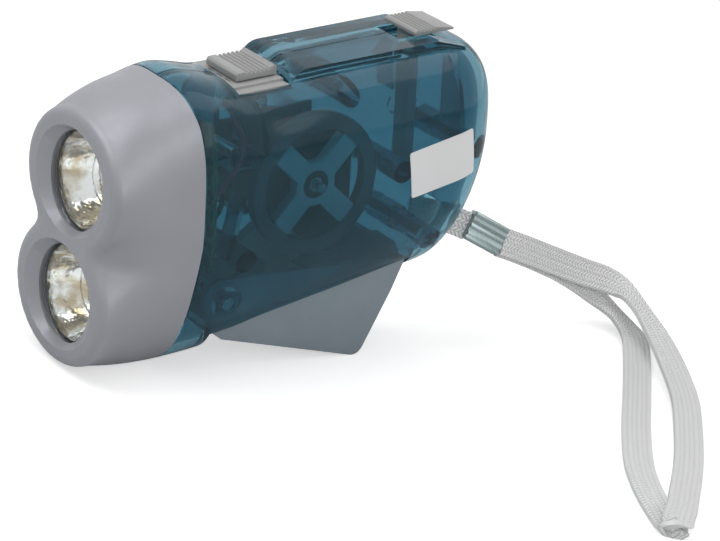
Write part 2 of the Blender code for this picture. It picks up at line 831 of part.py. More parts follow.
def panel_outline(drop):
    """The raised strip along the top, seen from the side."""
    front = arc(
        -PANEL_FRONT - PANEL_ROUNDING, PANEL_TOP - PANEL_ROUNDING, PANEL_ROUNDING, 0, pi / 2, 6
    )
    low = PANEL_TOP - PANEL_DEPTH - drop
    rear = [(-PANEL_FLAT_END, PANEL_TOP), (-PANEL_END, PANEL_TOP - PANEL_END_DROP), (-PANEL_END, low)]
    return [(-PANEL_FRONT, low)] + front + rear


def housing_cutters():
    lever = lever_outline()
    slot = slot_half_width()
    slot_front = lever[0][0] + SLOT_FRONT_GAP
    swing = hypot(LEVER_TOP_BACK, LEVER_TOP_BELOW)
    slot_rear = PIVOT_X - swing - SLOT_REAR_GAP
    overhang = LOCK_TRAVEL + GAP
    return [
        seam_region("head_side", True),
        box("lever_slot", (slot_rear, -slot, -2 * BOTTOM_DEPTH), (slot_front, slot, SLOT_TOP)),
        box(
            "switch_well",
            (-WELL_REAR, -WELL_HALF_WIDTH, WELL_FLOOR),
            (-WELL_FRONT, WELL_HALF_WIDTH, TOP_HEIGHT + OVERRUN),
        ),
        box(
            "lock_slot",
            (-LOCK_REAR + overhang + GAP, -LOCK_SLOT_HALF_WIDTH, FLANGE_TOP - OVERRUN),
            (-LOCK_FRONT + overhang, LOCK_SLOT_HALF_WIDTH, PANEL_TOP + OVERRUN),
        ),
        strap_opening(),
        floor_cutter("belly_flat"),
    ]


def strap_opening():
    """A square hole low in the rear, along the line on which the strap leaves."""
    half = STRAP_RADIUS + 2 * GAP
    made = box("strap_opening", (-STRAP_EXIT_LENGTH / 2, -half, -half), (STRAP_EXIT_LENGTH / 2, half, half))
    made.location = (STRAP_EXIT_X, 0, STRAP_EXIT_Z)
    made.rotation_euler = (0, STRAP_EXIT_SLOPE, 0)
    return made


def screw_seat(place):
    return side_y(*place) - SCREW_SEAT_DEPTH


def cavity_for(side):
    """The hollow of one half, less what stands in it: side is 1 for left and -1 for right."""
    word = "left" if side > 0 else "right"
    far = 2 * HALF_WIDTH
    cavity = loft(word + "_cavity", housing_rings(WALL))

    def post(name, radius, x, z, start):
        low, high = sorted((side * start, side * far))
        return rod(word + name, radius, low, high, x, z)

    def rib(name, low, high, start):
        ends = sorted((side * start, side * far))
        return box(word + name, (low[0], ends[0], low[1]), (high[0], ends[1], high[1]))

    radius = SCREW_BOSS_RADIUS if side > 0 else SCREW_SEAT_RADIUS
    for k, place in enumerate(SCREW_PLACES):
        cut(cavity, post(f"_boss_{k + 1}", radius, *place, 0))
    cut(cavity, post("_pin_boss", PIN_BOSS_RADIUS, PIVOT_X, PIVOT_Z, slot_half_width() + SINK))
    half = SWITCH_RIB_THICKNESS / 2
    cut(
        cavity,
        rib(
            "_switch_rib",
            (SWITCH_RIB_X - half, SWITCH_RIB_BOTTOM),
            (SWITCH_RIB_X + half, SWITCH_RIB_TOP),
            SWITCH_BODY_HALF_WIDTH + GAP,
        ),
    )
    half = LEG_RIB_THICKNESS / 2
    cut(
        cavity,
        rib("_leg_rib", (LEG_RIB_X - half, LEG_RIB_BOTTOM), (LEG_RIB_X + half, LEG_RIB_TOP), LEG_RIB_START),
    )
    slot_front = lever_outline()[0][0] + SLOT_FRONT_GAP
    cut(
        cavity,
        rib(
            "_bulkhead",
            (slot_front - SINK, -2 * BOTTOM_DEPTH),
            (slot_front + BULKHEAD_THICKNESS, BULKHEAD_TOP),
            -OVERRUN,
        ),
    )
    if side > 0:
        run = (Vector(BAR_BOTTOM) - Vector(BAR_TOP)).normalized() * BAR_WIDTH / 2
        across = Vector((-run.y, run.x))
        top, bottom = Vector(BAR_TOP), Vector(BAR_BOTTOM)
        corners = [top + across, top - across, bottom - across, bottom + across]
        cut(cavity, flat_piece("left_bar", [[tuple(c) for c in corners]], BAR_START, far))
    else:
        for k, place in enumerate(SPACER_PLACES):
            cut(cavity, post(f"_frame_post_{k + 1}", FRAME_POST_RADIUS, *place, FRAME_PLATE_OUT + GAP))
        cut(cavity, post("_cell_cup", CELL_RADIUS + GAP + CUP_WALL, CELL_X, CELL_Z, CUP_START))
    return cavity


def housing_half(side, shared):
    word = "left" if side > 0 else "right"
    far = 2 * HALF_WIDTH
    shell = loft(word + "_housing", housing_rings(0), TEAL_PLASTIC)
    panel = flat_piece(word + "_panel", [panel_outline(0)], -PANEL_HALF_WIDTH, PANEL_HALF_WIDTH)
    join(shell, panel)
    low, high = sorted((side * GAP / 2, -side * far))
    other = box(
        word + "_other_half",
        (-2 * BODY_LENGTH, low, -2 * BOTTOM_DEPTH),
        (BODY_LENGTH, high, 2 * BOTTOM_DEPTH),
    )
    cut(shell, cavity_for(side), other, *shared)
    bores = []
    for k, place in enumerate(SCREW_PLACES):
        if side > 0:
            bores.append(rod(f"left_pilot_{k + 1}", SCREW_PILOT_RADIUS, 0, SCREW_PILOT_DEPTH, *place))
            continue
        seat = screw_seat(place)
        bores.append(rod(f"right_bore_{k + 1}", SCREW_PILOT_RADIUS, -seat - SINK, 0, *place))
        bores.append(rod(f"right_seat_{k + 1}", SCREW_HEAD_RADIUS + GAP, -far, -seat, *place))
    low, high = sorted((side * OVERRUN, side * (pin_half_length() + GAP)))
    bores.append(rod(word + "_pin_bore", PIN_RADIUS + RUNNING_GAP, low, high, PIVOT_X, PIVOT_Z))
    if side < 0:
        end = -CELL_INNER_END - CELL_LENGTH - GAP
        wide = CELL_RADIUS + GAP
        bores.append(rod("cell_cup_bore", wide, end, -CELL_INNER_END, CELL_X, CELL_Z, None, ROUND_STEPS))
    cut(shell, *bores)
    return shell


def pin_half_length():
    return side_y(PIVOT_X, PIVOT_Z) - WALL


def head_bezel():
    """The silver head: a thin shell with a tube behind each mouth for lens and reflector."""
    rings = [ring(share * HEAD_DEPTH) for share in HEAD_STATION_SHARES]
    bezel = loft("head_bezel", rings, SILVER_PAINT)
    stations = [share * HEAD_DEPTH for share in HEAD_STATION_SHARES]
    hollow = [HEAD_WALL_FRONT] + [behind for behind in stations if behind > HEAD_WALL_FRONT]
    inner = [ring(behind, WALL) for behind in hollow] + [ring(2 * HEAD_DEPTH, WALL)]
    cavity = loft("head_hollow", inner)
    for word, z in (("upper", 0), ("lower", -LAMP_SPACING)):
        cut(cavity, barrel(word + "_tube", LAMP_TUBE_RADIUS, LAMP_TUBE_START, LAMP_TUBE_END, 0, z))
    cut(bezel, cavity)
    for word, z in (("upper", 0), ("lower", -LAMP_SPACING)):
        pocket = barrel(word + "_pocket", LAMP_POCKET_RADIUS, BOWL_DEPTH, LAMP_TUBE_END + OVERRUN, 0, z)
        cut(bezel, mouth(word, z), pocket)
    cut(bezel, seam_region("housing_side", False), floor_cutter("head_flat"))


def mouth(word, z):
    """The flared oval hollow in front of one lens, which ends in a short straight lip."""
    flared = BOWL_DEPTH - LENS_LIP
    inner = BOWL_INNER_RADIUS
    ahead = (flared + OVERRUN) / flared
    wide = inner + (MOUTH_HALF_WIDTH - inner) * ahead
    tall = inner + (MOUTH_HALF_HEIGHT - inner) * ahead
    turn = 2 * pi / ROUND_STEPS
    angles = [(k + 0.5) * turn for k in range(ROUND_STEPS)]
    sections = [(OVERRUN, wide, tall), (-flared, inner, inner), (-BOWL_DEPTH - SINK, inner, inner)]
    rings = []
    for x, across, up in sections:
        rings.append([(x, across * cos(angle), z + up * sin(angle)) for angle in angles])
    return loft(word + "_mouth", rings, None, LAMPS)


def lamp(word, z):
    """Lens, reflector and light-emitting diode behind one mouth."""
    lens_start = BOWL_DEPTH + GAP
    radius = LAMP_POCKET_RADIUS - GAP
    cup_start = lens_start + LENS_THICKNESS + GAP
    barrel(word + "_lens", radius, lens_start, lens_start + LENS_THICKNESS, 0, z, CLEAR)
    inner_mouth = radius - REFLECTOR_WALL
    steps = 6
    inside, behind = [], []
    for k in range(steps + 1):
        share = k / steps
        r = inner_mouth + (REFLECTOR_HOLE_RADIUS - inner_mouth) * share
        outward = (r - REFLECTOR_HOLE_RADIUS) / (inner_mouth - REFLECTOR_HOLE_RADIUS)
        depth = REFLECTOR_DEPTH * (1 - outward**2)
        inside.append((cup_start + min(depth, REFLECTOR_DEPTH - REFLECTOR_WALL / 2), r))
        behind.append((cup_start + min(depth + REFLECTOR_WALL, REFLECTOR_DEPTH), r + REFLECTOR_WALL))
    cup = turned(word + "_reflector", inside + behind[::-1], CHROME)
    board = LAMP_TUBE_END + GAP
    base = board - GAP
    tip = base - LED_LENGTH
    flange = base - LED_FLANGE_THICKNESS
    bends = [k * pi / 8 for k in range(1, 5)]
    dome = [(tip, 0)] + [(tip + LED_RADIUS * (1 - cos(a)), LED_RADIUS * sin(a)) for a in bends]
    foot = [(flange, LED_RADIUS), (flange, LED_FLANGE_RADIUS), (base, LED_FLANGE_RADIUS), (base, 0)]
    led = turned(word + "_led", dome + foot, LED_WHITE, SMALL_STEPS)
    for piece in (cup, led):
        piece.location.z = z


def led_board():
    """One board behind both reflectors, with round ends like the head."""
    radius = LED_BOARD_HALF_WIDTH
    reach_up = LED_BOARD_HALF_HEIGHT - radius
    upper = arc(0, reach_up, radius, 0, pi, 10)
    lower = arc(0, -reach_up, radius, pi, 2 * pi, 10)
    form = bmesh.new()
    front = [form.verts.new((LED_BOARD_THICKNESS / 2, y, z)) for y, z in upper + lower]
    face = form.faces.new(front)
    grown = bmesh.ops.extrude_face_region(form, geom=[face])
    moved = [v for v in grown["geom"] if isinstance(v, bmesh.types.BMVert)]
    bmesh.ops.translate(form, verts=moved, vec=(-LED_BOARD_THICKNESS, 0, 0))
    board = link("led_board", mesh_from("led_board", form), GREEN_BOARD, LAMPS)
    board.location = (-(LAMP_TUBE_END + GAP + LED_BOARD_THICKNESS / 2), 0, -LAMP_SPACING / 2)


def ribbed_top(front, rear, low, top, ribs, land):
    """Side view of a thumb piece: a smooth land at the front, then ribs across it."""
    outline = [(-front, low), (-front, top - BUTTON_EDGE), (-front - BUTTON_EDGE, top), (-front - land, top)]
    pitch = (rear - front - land) / ribs
    fall, rise, crest = RIB_SHARES
    for k in range(ribs):
        start = front + land + k * pitch
        outline += [
            (-start - pitch * fall, top - RIB_DEPTH),
            (-start - pitch * rise, top - RIB_DEPTH),
            (-start - pitch * crest, top),
            (-start - pitch, top),
        ]
    return outline


def on_off_switch():
    plate_low = WELL_FLOOR + GAP
    plate_top = plate_low + PLATE_THICKNESS
    platform = plate_top + PLATFORM_HEIGHT
    side = WELL_HALF_WIDTH - GAP
    plate = box(
        "switch_plate", (-WELL_REAR + GAP, -side, plate_low), (-WELL_FRONT - GAP, side, plate_top), WARM_GREY
    )
    inner = box(
        "switch_platform",
        (-WELL_REAR + GAP, -PLATFORM_HALF_WIDTH, plate_low + GAP),
        (-WELL_FRONT - GAP, PLATFORM_HALF_WIDTH, platform),
    )
    join(plate, inner)
    middle = -(BUTTON_FRONT + BUTTON_REAR) / 2
    stem = STEM_LENGTH / 2
    cut(
        plate,
        box(
            "stem_slot",
            (middle - stem - GAP, -STEM_HALF_WIDTH - GAP, plate_low - OVERRUN),
            (middle + stem + SWITCH_TRAVEL + GAP, STEM_HALF_WIDTH + GAP, platform + OVERRUN),
        ),
    )
    for k in (-1, 0, 1):
        y = k * SIDE_SLOT_PITCH
        half = SIDE_SLOT_WIDTH / 2
        cut(
            plate,
            box(
                f"front_slot_{k + 2}",
                (-BUTTON_FRONT, y - half, plate_low - OVERRUN),
                (-BUTTON_FRONT + SIDE_SLOT_LENGTH, y + half, platform + OVERRUN),
            ),
        )
    low = platform + GAP
    top = low + BUTTON_HEIGHT
    rear = BUTTON_REAR - BUTTON_LIP
    outline = ribbed_top(BUTTON_FRONT, rear, low, top, BUTTON_RIBS, BUTTON_LAND)
    outline += [(-rear - BUTTON_EDGE, top + BUTTON_LIP_RISE), (-BUTTON_REAR, top), (-BUTTON_REAR, low)]
    button = flat_piece("switch_button", [outline], -BUTTON_HALF_WIDTH, BUTTON_HALF_WIDTH, WARM_GREY)
    body_top = SWITCH_RIB_TOP - ACTUATOR_LENGTH
    body_low = body_top - SWITCH_BODY_HEIGHT
    actuator_low = body_top + GAP
    actuator_top = actuator_low + ACTUATOR_HEIGHT
    join(
        button,
        box(
            "button_stem",
            (middle - stem, -STEM_HALF_WIDTH, actuator_low + GAP),
            (middle + stem, STEM_HALF_WIDTH, low + SINK),
        ),
    )
    half = ACTUATOR_LENGTH / 2
    cut(
        button,
        box(
            "stem_notch",
            (middle - half - GAP, -STEM_HALF_WIDTH - OVERRUN, actuator_low - OVERRUN),
            (middle + half + GAP, STEM_HALF_WIDTH + OVERRUN, actuator_top + GAP),
        ),
    )
    box(
        "slide_switch_actuator",
        (middle - half, -STEM_HALF_WIDTH, actuator_low),
        (middle + half, STEM_HALF_WIDTH, actuator_top),
        BLACK,
    )
    half = SWITCH_BODY_LENGTH / 2
    box(
        "slide_switch_body",
        (middle - half, -SWITCH_BODY_HALF_WIDTH, body_low),
        (middle + half, SWITCH_BODY_HALF_WIDTH, body_top),
        STEEL,
    )
    return middle + half


def lock_slider():
    """The rear thumb piece, with a leg inside whose nose slips under the squeezed lever's ledge."""
    low = PANEL_TOP + GAP
    top = low + LOCK_HEIGHT
    outline = ribbed_top(LOCK_FRONT, LOCK_WEDGE_START, low, top, LOCK_RIBS, BUTTON_EDGE * 2)
    outline += [(-LOCK_REAR, low + LOCK_TAIL), (-LOCK_REAR, low)]
    slider = flat_piece("lock_slider", [outline], -LOCK_HALF_WIDTH, LOCK_HALF_WIDTH, WARM_GREY)
    rear = -LEG_FRONT - LEG_THICKNESS
    leg = box("lock_leg", (rear, -LEG_HALF_WIDTH, -LEG_BOTTOM), (-LEG_FRONT, LEG_HALF_WIDTH, low + SINK))
    nose = box(
        "lock_nose",
        (-LEG_FRONT - SINK, -LEG_HALF_WIDTH, -LEG_BOTTOM),
        (-LEG_FRONT + NOSE_LENGTH, LEG_HALF_WIDTH, -LEG_BOTTOM + NOSE_THICKNESS),
    )
    middle = -LEG_FRONT - LEG_THICKNESS / 2
    flange = box(
        "lock_flange",
        (middle - FLANGE_LENGTH / 2, -FLANGE_HALF_WIDTH, FLANGE_TOP - FLANGE_THICKNESS),
        (middle + FLANGE_LENGTH / 2, FLANGE_HALF_WIDTH, FLANGE_TOP),
    )
    join(slider, leg, nose, flange)


def lever():
    """A trough open at the top, hung on its ears, with a ledge behind for the lock."""
    front, nose, rounded, rear, top, corner, _ = lever_outline()
    ear = arc(PIVOT_X, PIVOT_Z, EAR_RADIUS, radians(110), radians(-35), 10)
    outline = [front, nose, *rounded, rear, top, *ear]
    local = [(x - PIVOT_X, z - PIVOT_Z) for x, z in outline]
    made = flat_piece("lever", [local], -LEVER_HALF_WIDTH, LEVER_HALF_WIDTH, LEVER_GREY, PIVOT_X, PIVOT_Z)
    high = (top[0], top[1] + EAR_RADIUS + OVERRUN)
    sill = PIVOT_Z - SECTOR_HUB_RADIUS - 2 * GAP
    ahead = PIVOT_X + EAR_RADIUS + OVERRUN
    inner = offset([high, top, rear, corner, nose, front, (front[0], sill)], LEVER_WALL)
    inner += [(ahead, sill), (ahead, high[1])]
    side = LEVER_HALF_WIDTH - LEVER_WALL
    cut(made, flat_piece("lever_trough", [inner], -side, side))
    ledge = box(
        "lever_ledge",
        (top[0] - LEDGE_REACH, -LEDGE_HALF_WIDTH, top[1] - LEDGE_THICKNESS),
        (top[0] + LEVER_WALL / 2, LEDGE_HALF_WIDTH, top[1] - RUNNING_GAP),
    )
    join(made, ledge)
    far = LEVER_HALF_WIDTH + OVERRUN
    cut(made, rod("ear_bore", PIN_RADIUS + RUNNING_GAP, -far, far, PIVOT_X, PIVOT_Z))
    rod("lever_pivot_pin", PIN_RADIUS, -pin_half_length(), pin_half_length(), PIVOT_X, PIVOT_Z, STEEL)


def involute(angle):
    return tan(angle) - angle


def tooth_half_angle(teeth, radius, pitch_radius):
    """Half the angle that a tooth spans at a radius."""
    base = pitch_radius * cos(PRESSURE_ANGLE)
    here = acos(min(1.0, base / radius))
    thinning = THINNING_SHARE / teeth
    return pi / (2 * teeth) - thinning + involute(PRESSURE_ANGLE) - involute(here)


def tooth_points(teeth, module, centre_angle):
    """One tooth, from its root on the low-angle side over its tip to the other root."""
    pitch_radius = teeth * module / 2
    base = pitch_radius * cos(PRESSURE_ANGLE)
    tip = pitch_radius + ADDENDUM_SHARE * module
    root = pitch_radius - DEDENDUM_SHARE * module
    foot = max(base, root)
    radii = [foot, foot + (tip - foot) / 3, foot + (tip - foot) * 2 / 3, tip]
    flank = [(radius, tooth_half_angle(teeth, radius, pitch_radius)) for radius in radii]
    if root < foot:
        flank.insert(0, (root, flank[0][1]))
    rising = [(r, centre_angle - a) for r, a in flank]
    falling = [(r, centre_angle + a) for r, a in reversed(flank)]
    return [(r * cos(a), r * sin(a)) for r, a in rising + falling]


def gear_outline(teeth, module, phase):
    points = []
    for k in range(teeth):
        points += tooth_points(teeth, module, phase + 2 * pi * k / teeth)
    return points


def meshing_phase(teeth, phase, other_teeth, direction):
    """The second gear's phase, so that its gap meets the first gear's tooth along a direction."""
    share = (direction - phase) * teeth / (2 * pi)
    return direction + pi - (0.5 - share) * 2 * pi / other_teeth


def gear_places():
    """Shaft centres: the lever's sector drives A, A drives B and B drives the rotor."""
    reach_first = (SECTOR_TEETH + PINION_TEETH) * FIRST_MODULE / 2
    towards = Vector((cos(FIRST_SHAFT_ANGLE), sin(FIRST_SHAFT_ANGLE)))
    first = Vector((PIVOT_X, PIVOT_Z)) + reach_first * towards
    rotor = Vector((ROTOR_X, ROTOR_Z))
    span = (WHEEL_TEETH + PINION_TEETH) * SECOND_MODULE / 2
    run = rotor - first
    away = Vector((-run.y, run.x)).normalized()
    second = (first + rotor) / 2 + away * (span**2 - (run.length / 2) ** 2) ** 0.5
    return first, second, rotor


def direction_of(start, end):
    return atan2(end.y - start.y, end.x - start.x)


def spur_gear(name, teeth, module, phase, place, low, high, look, bore=AXLE_RADIUS + RUNNING_GAP / 2):
    outlines = [gear_outline(teeth, module, phase), circle(bore)]
    return flat_piece(name, outlines, low, high, look, place.x, place.y)


def lever_sector():
    """The toothed plate in the lever: it hangs on the pin and stands on the trough's floor."""
    pitch = 2 * pi / SECTOR_TEETH
    first = round(SECTOR_FIRST_ANGLE / pitch)
    last = round(SECTOR_LAST_ANGLE / pitch)
    teeth = []
    for k in range(first, last + 1):
        teeth += tooth_points(SECTOR_TEETH, FIRST_MODULE, k * pitch)
    _, nose, _, _, _, _, _ = lever_outline()
    slope = tan(LEVER_BELLY_SLOPE)
    lift = (LEVER_WALL + GAP) / cos(LEVER_BELLY_SLOPE)

    def on_floor(x):
        return (x, nose[1] - PIVOT_Z + lift + (x - nose[0] + PIVOT_X) * slope)

    radius = SECTOR_TEETH * FIRST_MODULE / 2
    inner = radius - 2 * DEDENDUM_SHARE * FIRST_MODULE
    neck_angle = first * pitch - pitch / 2
    bend = radius * NECK_SHARE
    neck = [(bend * cos(neck_angle), bend * sin(neck_angle))]
    rim = [(inner * cos(neck_angle), inner * sin(neck_angle))]
    hub = arc(0, 0, SECTOR_HUB_RADIUS, radians(-110), radians(125), 12)
    foot = [on_floor(-radius * FOOT_SHARE), on_floor(-SECTOR_HUB_RADIUS * 2)]
    outline = hub + neck + rim + teeth + foot
    back, drop, hole = (radius * share for share in WINDOW_SHARES)
    window = circle(hole, SMALL_STEPS, -back, -drop)
    holes = [circle(PIN_RADIUS + RUNNING_GAP), window]
    flat_piece(
        "lever_sector_gear", [outline, *holes], SECTOR_LOW, SECTOR_HIGH, NATURAL_NYLON, PIVOT_X, PIVOT_Z
    )
    return first * pitch


def gear_train():
    first, second, rotor = gear_places()
    pivot = Vector((PIVOT_X, PIVOT_Z))
    sector_phase = lever_sector()
    pinion_phase = meshing_phase(SECTOR_TEETH, sector_phase, PINION_TEETH, direction_of(pivot, first))
    slim = WHEEL_WIDTH
    spare = (PINION_WIDTH - WHEEL_WIDTH) / 2
    low = FIRST_WHEEL_LOW
    start = SECTOR_LOW + GAP
    spur_gear(
        "first_pinion", PINION_TEETH, FIRST_MODULE, pinion_phase, first, start, SECTOR_HIGH, NATURAL_NYLON
    )
    spur_gear("first_gear", WHEEL_TEETH, SECOND_MODULE, 0, first, low, low + slim, NATURAL_NYLON)
    phase = meshing_phase(WHEEL_TEETH, 0, PINION_TEETH, direction_of(first, second))
    spur_gear(
        "second_pinion", PINION_TEETH, SECOND_MODULE, phase, second, low - spare, low + slim + spare, BRASS
    )
    low = SECOND_WHEEL_LOW
    spur_gear("second_gear", WHEEL_TEETH, SECOND_MODULE, 0, second, low, low + slim, NATURAL_NYLON)
    phase = meshing_phase(WHEEL_TEETH, 0, PINION_TEETH, direction_of(second, rotor))
    high = low + slim + spare / 2
    spur_gear("rotor_pinion", PINION_TEETH, SECOND_MODULE, phase, rotor, low - spare, high, BRASS)
    rod("first_gear_axle", AXLE_RADIUS, -AXLE_END, AXLE_END, first.x, first.y, STEEL)
    rod("second_gear_axle", AXLE_RADIUS, -AXLE_END, AXLE_END, second.x, second.y, STEEL)
    rod("rotor_shaft", AXLE_RADIUS, -AXLE_END, SHAFT_END, rotor.x, rotor.y, STEEL)
    return first, second, rotor


def flywheel():
    """A rim, a hub and four broad spokes on the diagonals."""
    inner = FLYWHEEL_RADIUS - FLYWHEEL_RIM
    half = FLYWHEEL_SPOKE_WIDTH / 2
    windows = []
    at_rim = asin(half / inner)
    at_hub = asin(half / FLYWHEEL_HUB_RADIUS)
    for k in range(4):
        start = pi / 4 + k * pi / 2
        outer = arc(0, 0, inner, start + at_rim, start + pi / 2 - at_rim, 6)
        hub = arc(0, 0, FLYWHEEL_HUB_RADIUS, start + pi / 2 - at_hub, start + at_hub, 4)
        windows.append(outer + hub)
    bore = circle(AXLE_RADIUS + RUNNING_GAP / 2)
    rim = circle(FLYWHEEL_RADIUS, 40)
    flat_piece("flywheel", [rim, bore, *windows], FLYWHEEL_LOW, FLYWHEEL_HIGH, STEEL, ROTOR_X, ROTOR_Z)


def generator():
    """The magnet on the rotor shaft, and the core that carries its field through the coil."""
    flat_piece(
        "rotor_magnet",
        [circle(MAGNET_RADIUS, ROUND_STEPS), circle(AXLE_RADIUS + RUNNING_GAP / 2)],
        MAGNET_LOW,
        MAGNET_HIGH,
        MAGNET_GREY,
        ROTOR_X,
        ROTOR_Z,
    )
    inner = MAGNET_RADIUS + CORE_GAP
    outer = inner + CORE_POLE_THICKNESS
    window = -CORE_WINDOW_FRONT - ROTOR_X
    front = -CORE_FRONT - ROTOR_X
    throat = inner * cos(radians(35)) + CORE_POLE_THICKNESS / 2
    leg = CORE_WINDOW_HALF + CORE_LEG
    upper = arc(0, 0, inner, radians(150), radians(35), 8)
    upper += [(throat, CORE_WINDOW_HALF), (window, CORE_WINDOW_HALF)]
    mirrored = [(x, -z) for x, z in reversed(upper)]
    shoulder = arc(0, 0, outer, radians(-150), radians(-75), 5) + [(throat, -leg), (front, -leg)]
    back = [(x, -z) for x, z in reversed(shoulder)]
    outline = upper + mirrored + shoulder + back
    flat_piece("stator_core", [outline], CORE_LOW, CORE_HIGH, DARK_STEEL, ROTOR_X, ROTOR_Z)
    coil(-(CORE_WINDOW_FRONT + CORE_FRONT) / 2, (CORE_LOW + CORE_HIGH) / 2)


def coil(x, y):
    """The bobbin fills the core's window round the front limb, and the winding fills the bobbin."""
    limb_x = (CORE_WINDOW_FRONT - CORE_FRONT) / 2 + GAP
    limb_y = (CORE_HIGH - CORE_LOW) / 2 + GAP
    tall = CORE_WINDOW_HALF - GAP
    wide = limb_x + BOBBIN_HALF_LENGTH
    spool = box(
        "coil_bobbin",
        (x - wide, y - BOBBIN_HALF_DEPTH, ROTOR_Z - tall),
        (x + wide, y + BOBBIN_HALF_DEPTH, ROTOR_Z + tall),
        BLACK,
    )
    inner = tall - BOBBIN_FLANGE
    core_x = limb_x + BOBBIN_WALL
    core_y = limb_y + BOBBIN_WALL
    throat = box(
        "bobbin_throat",
        (x - wide - OVERRUN, y - BOBBIN_HALF_DEPTH - OVERRUN, ROTOR_Z - inner),
        (x + wide + OVERRUN, y + BOBBIN_HALF_DEPTH + OVERRUN, ROTOR_Z + inner),
    )
    cut(
        throat,
        box(
            "bobbin_core",
            (x - core_x, y - core_y, ROTOR_Z - tall),
            (x + core_x, y + core_y, ROTOR_Z + tall),
        ),
    )
    hole = box(
        "bobbin_hole",
        (x - limb_x, y - limb_y, ROTOR_Z - tall - OVERRUN),
        (x + limb_x, y + limb_y, ROTOR_Z + tall + OVERRUN),
    )
    cut(spool, throat, hole)
    thick = GAP / 2
    winding = box(
        "coil_winding",
        (x - wide + GAP, y - BOBBIN_HALF_DEPTH + thick, ROTOR_Z - inner + GAP),
        (x + wide - GAP, y + BOBBIN_HALF_DEPTH - thick, ROTOR_Z + inner - GAP),
        COPPER,
    )
    core_x += GAP / 2
    core_y += GAP / 2
    cut(
        winding,
        box(
            "winding_hole",
            (x - core_x, y - core_y, ROTOR_Z - tall),
            (x + core_x, y + core_y, ROTOR_Z + tall),
        ),
    )


def gear_frame(first, second, rotor):
    """Two plates with the axles' bearings, held apart by spacers."""
    low = first.y - FRAME_MARGIN
    front_x = SPACER_PLACES[0][0] + SPACER_RADIUS
    outline = [
        (front_x, FRAME_TOP),
        (FRAME_REAR, FRAME_TOP),
        (FRAME_REAR, low),
        (first.x + FRAME_MARGIN, low),
        (FRAME_FRONT - FRAME_CHAMFER, ROTOR_Z - CORE_WINDOW_HALF - CORE_LEG - SPACER_RADIUS),
        (FRAME_FRONT, ROTOR_Z - CORE_WINDOW_HALF - CORE_LEG),
        (FRAME_FRONT, -SPACER_RADIUS),
        (front_x, -SPACER_RADIUS / 2),
    ]
    bearing = AXLE_RADIUS + RUNNING_GAP
    bores = [circle(bearing, SMALL_STEPS, place.x, place.y) for place in (first, second, rotor)]
    for word, low_y, high_y in (
        ("left", FRAME_PLATE_IN, FRAME_PLATE_OUT),
        ("right", -FRAME_PLATE_OUT, -FRAME_PLATE_IN),
    ):
        flat_piece(word + "_frame_plate", [outline, *bores], low_y, high_y, STEEL)
    inside = FRAME_PLATE_IN - GAP
    for word, place in zip(("front", "rear"), SPACER_PLACES):
        rod(word + "_frame_spacer", SPACER_RADIUS, -inside, inside, *place, BRASS)


def return_spring():
    """A torsion spring round the lever's pin: one leg on a screw boss, one on the lever's floor."""
    steps = 12
    turn = 2 * pi / steps
    count = SPRING_TURNS * steps + 2
    pitch = 2 * SPRING_WIRE_RADIUS + GAP
    points = []
    for k in range(count + 1):
        angle = SPRING_START - k * turn
        y = SPRING_INNER_Y - k / steps * pitch
        points.append((SPRING_RADIUS * cos(angle), y, SPRING_RADIUS * sin(angle)))
    end = SPRING_START - count * turn
    upper = Vector((-sin(SPRING_START), 0, cos(SPRING_START))) * SPRING_UPPER_LEG
    lower = Vector((sin(end), 0, -cos(end))) * SPRING_LOWER_LEG
    points.insert(0, tuple(Vector(points[0]) + upper))
    points.append(tuple(Vector(points[-1]) + lower))
    spring = tube("lever_return_spring", points, SPRING_WIRE_RADIUS, STEEL, 1)
    spring.location = (PIVOT_X, 0, PIVOT_Z)


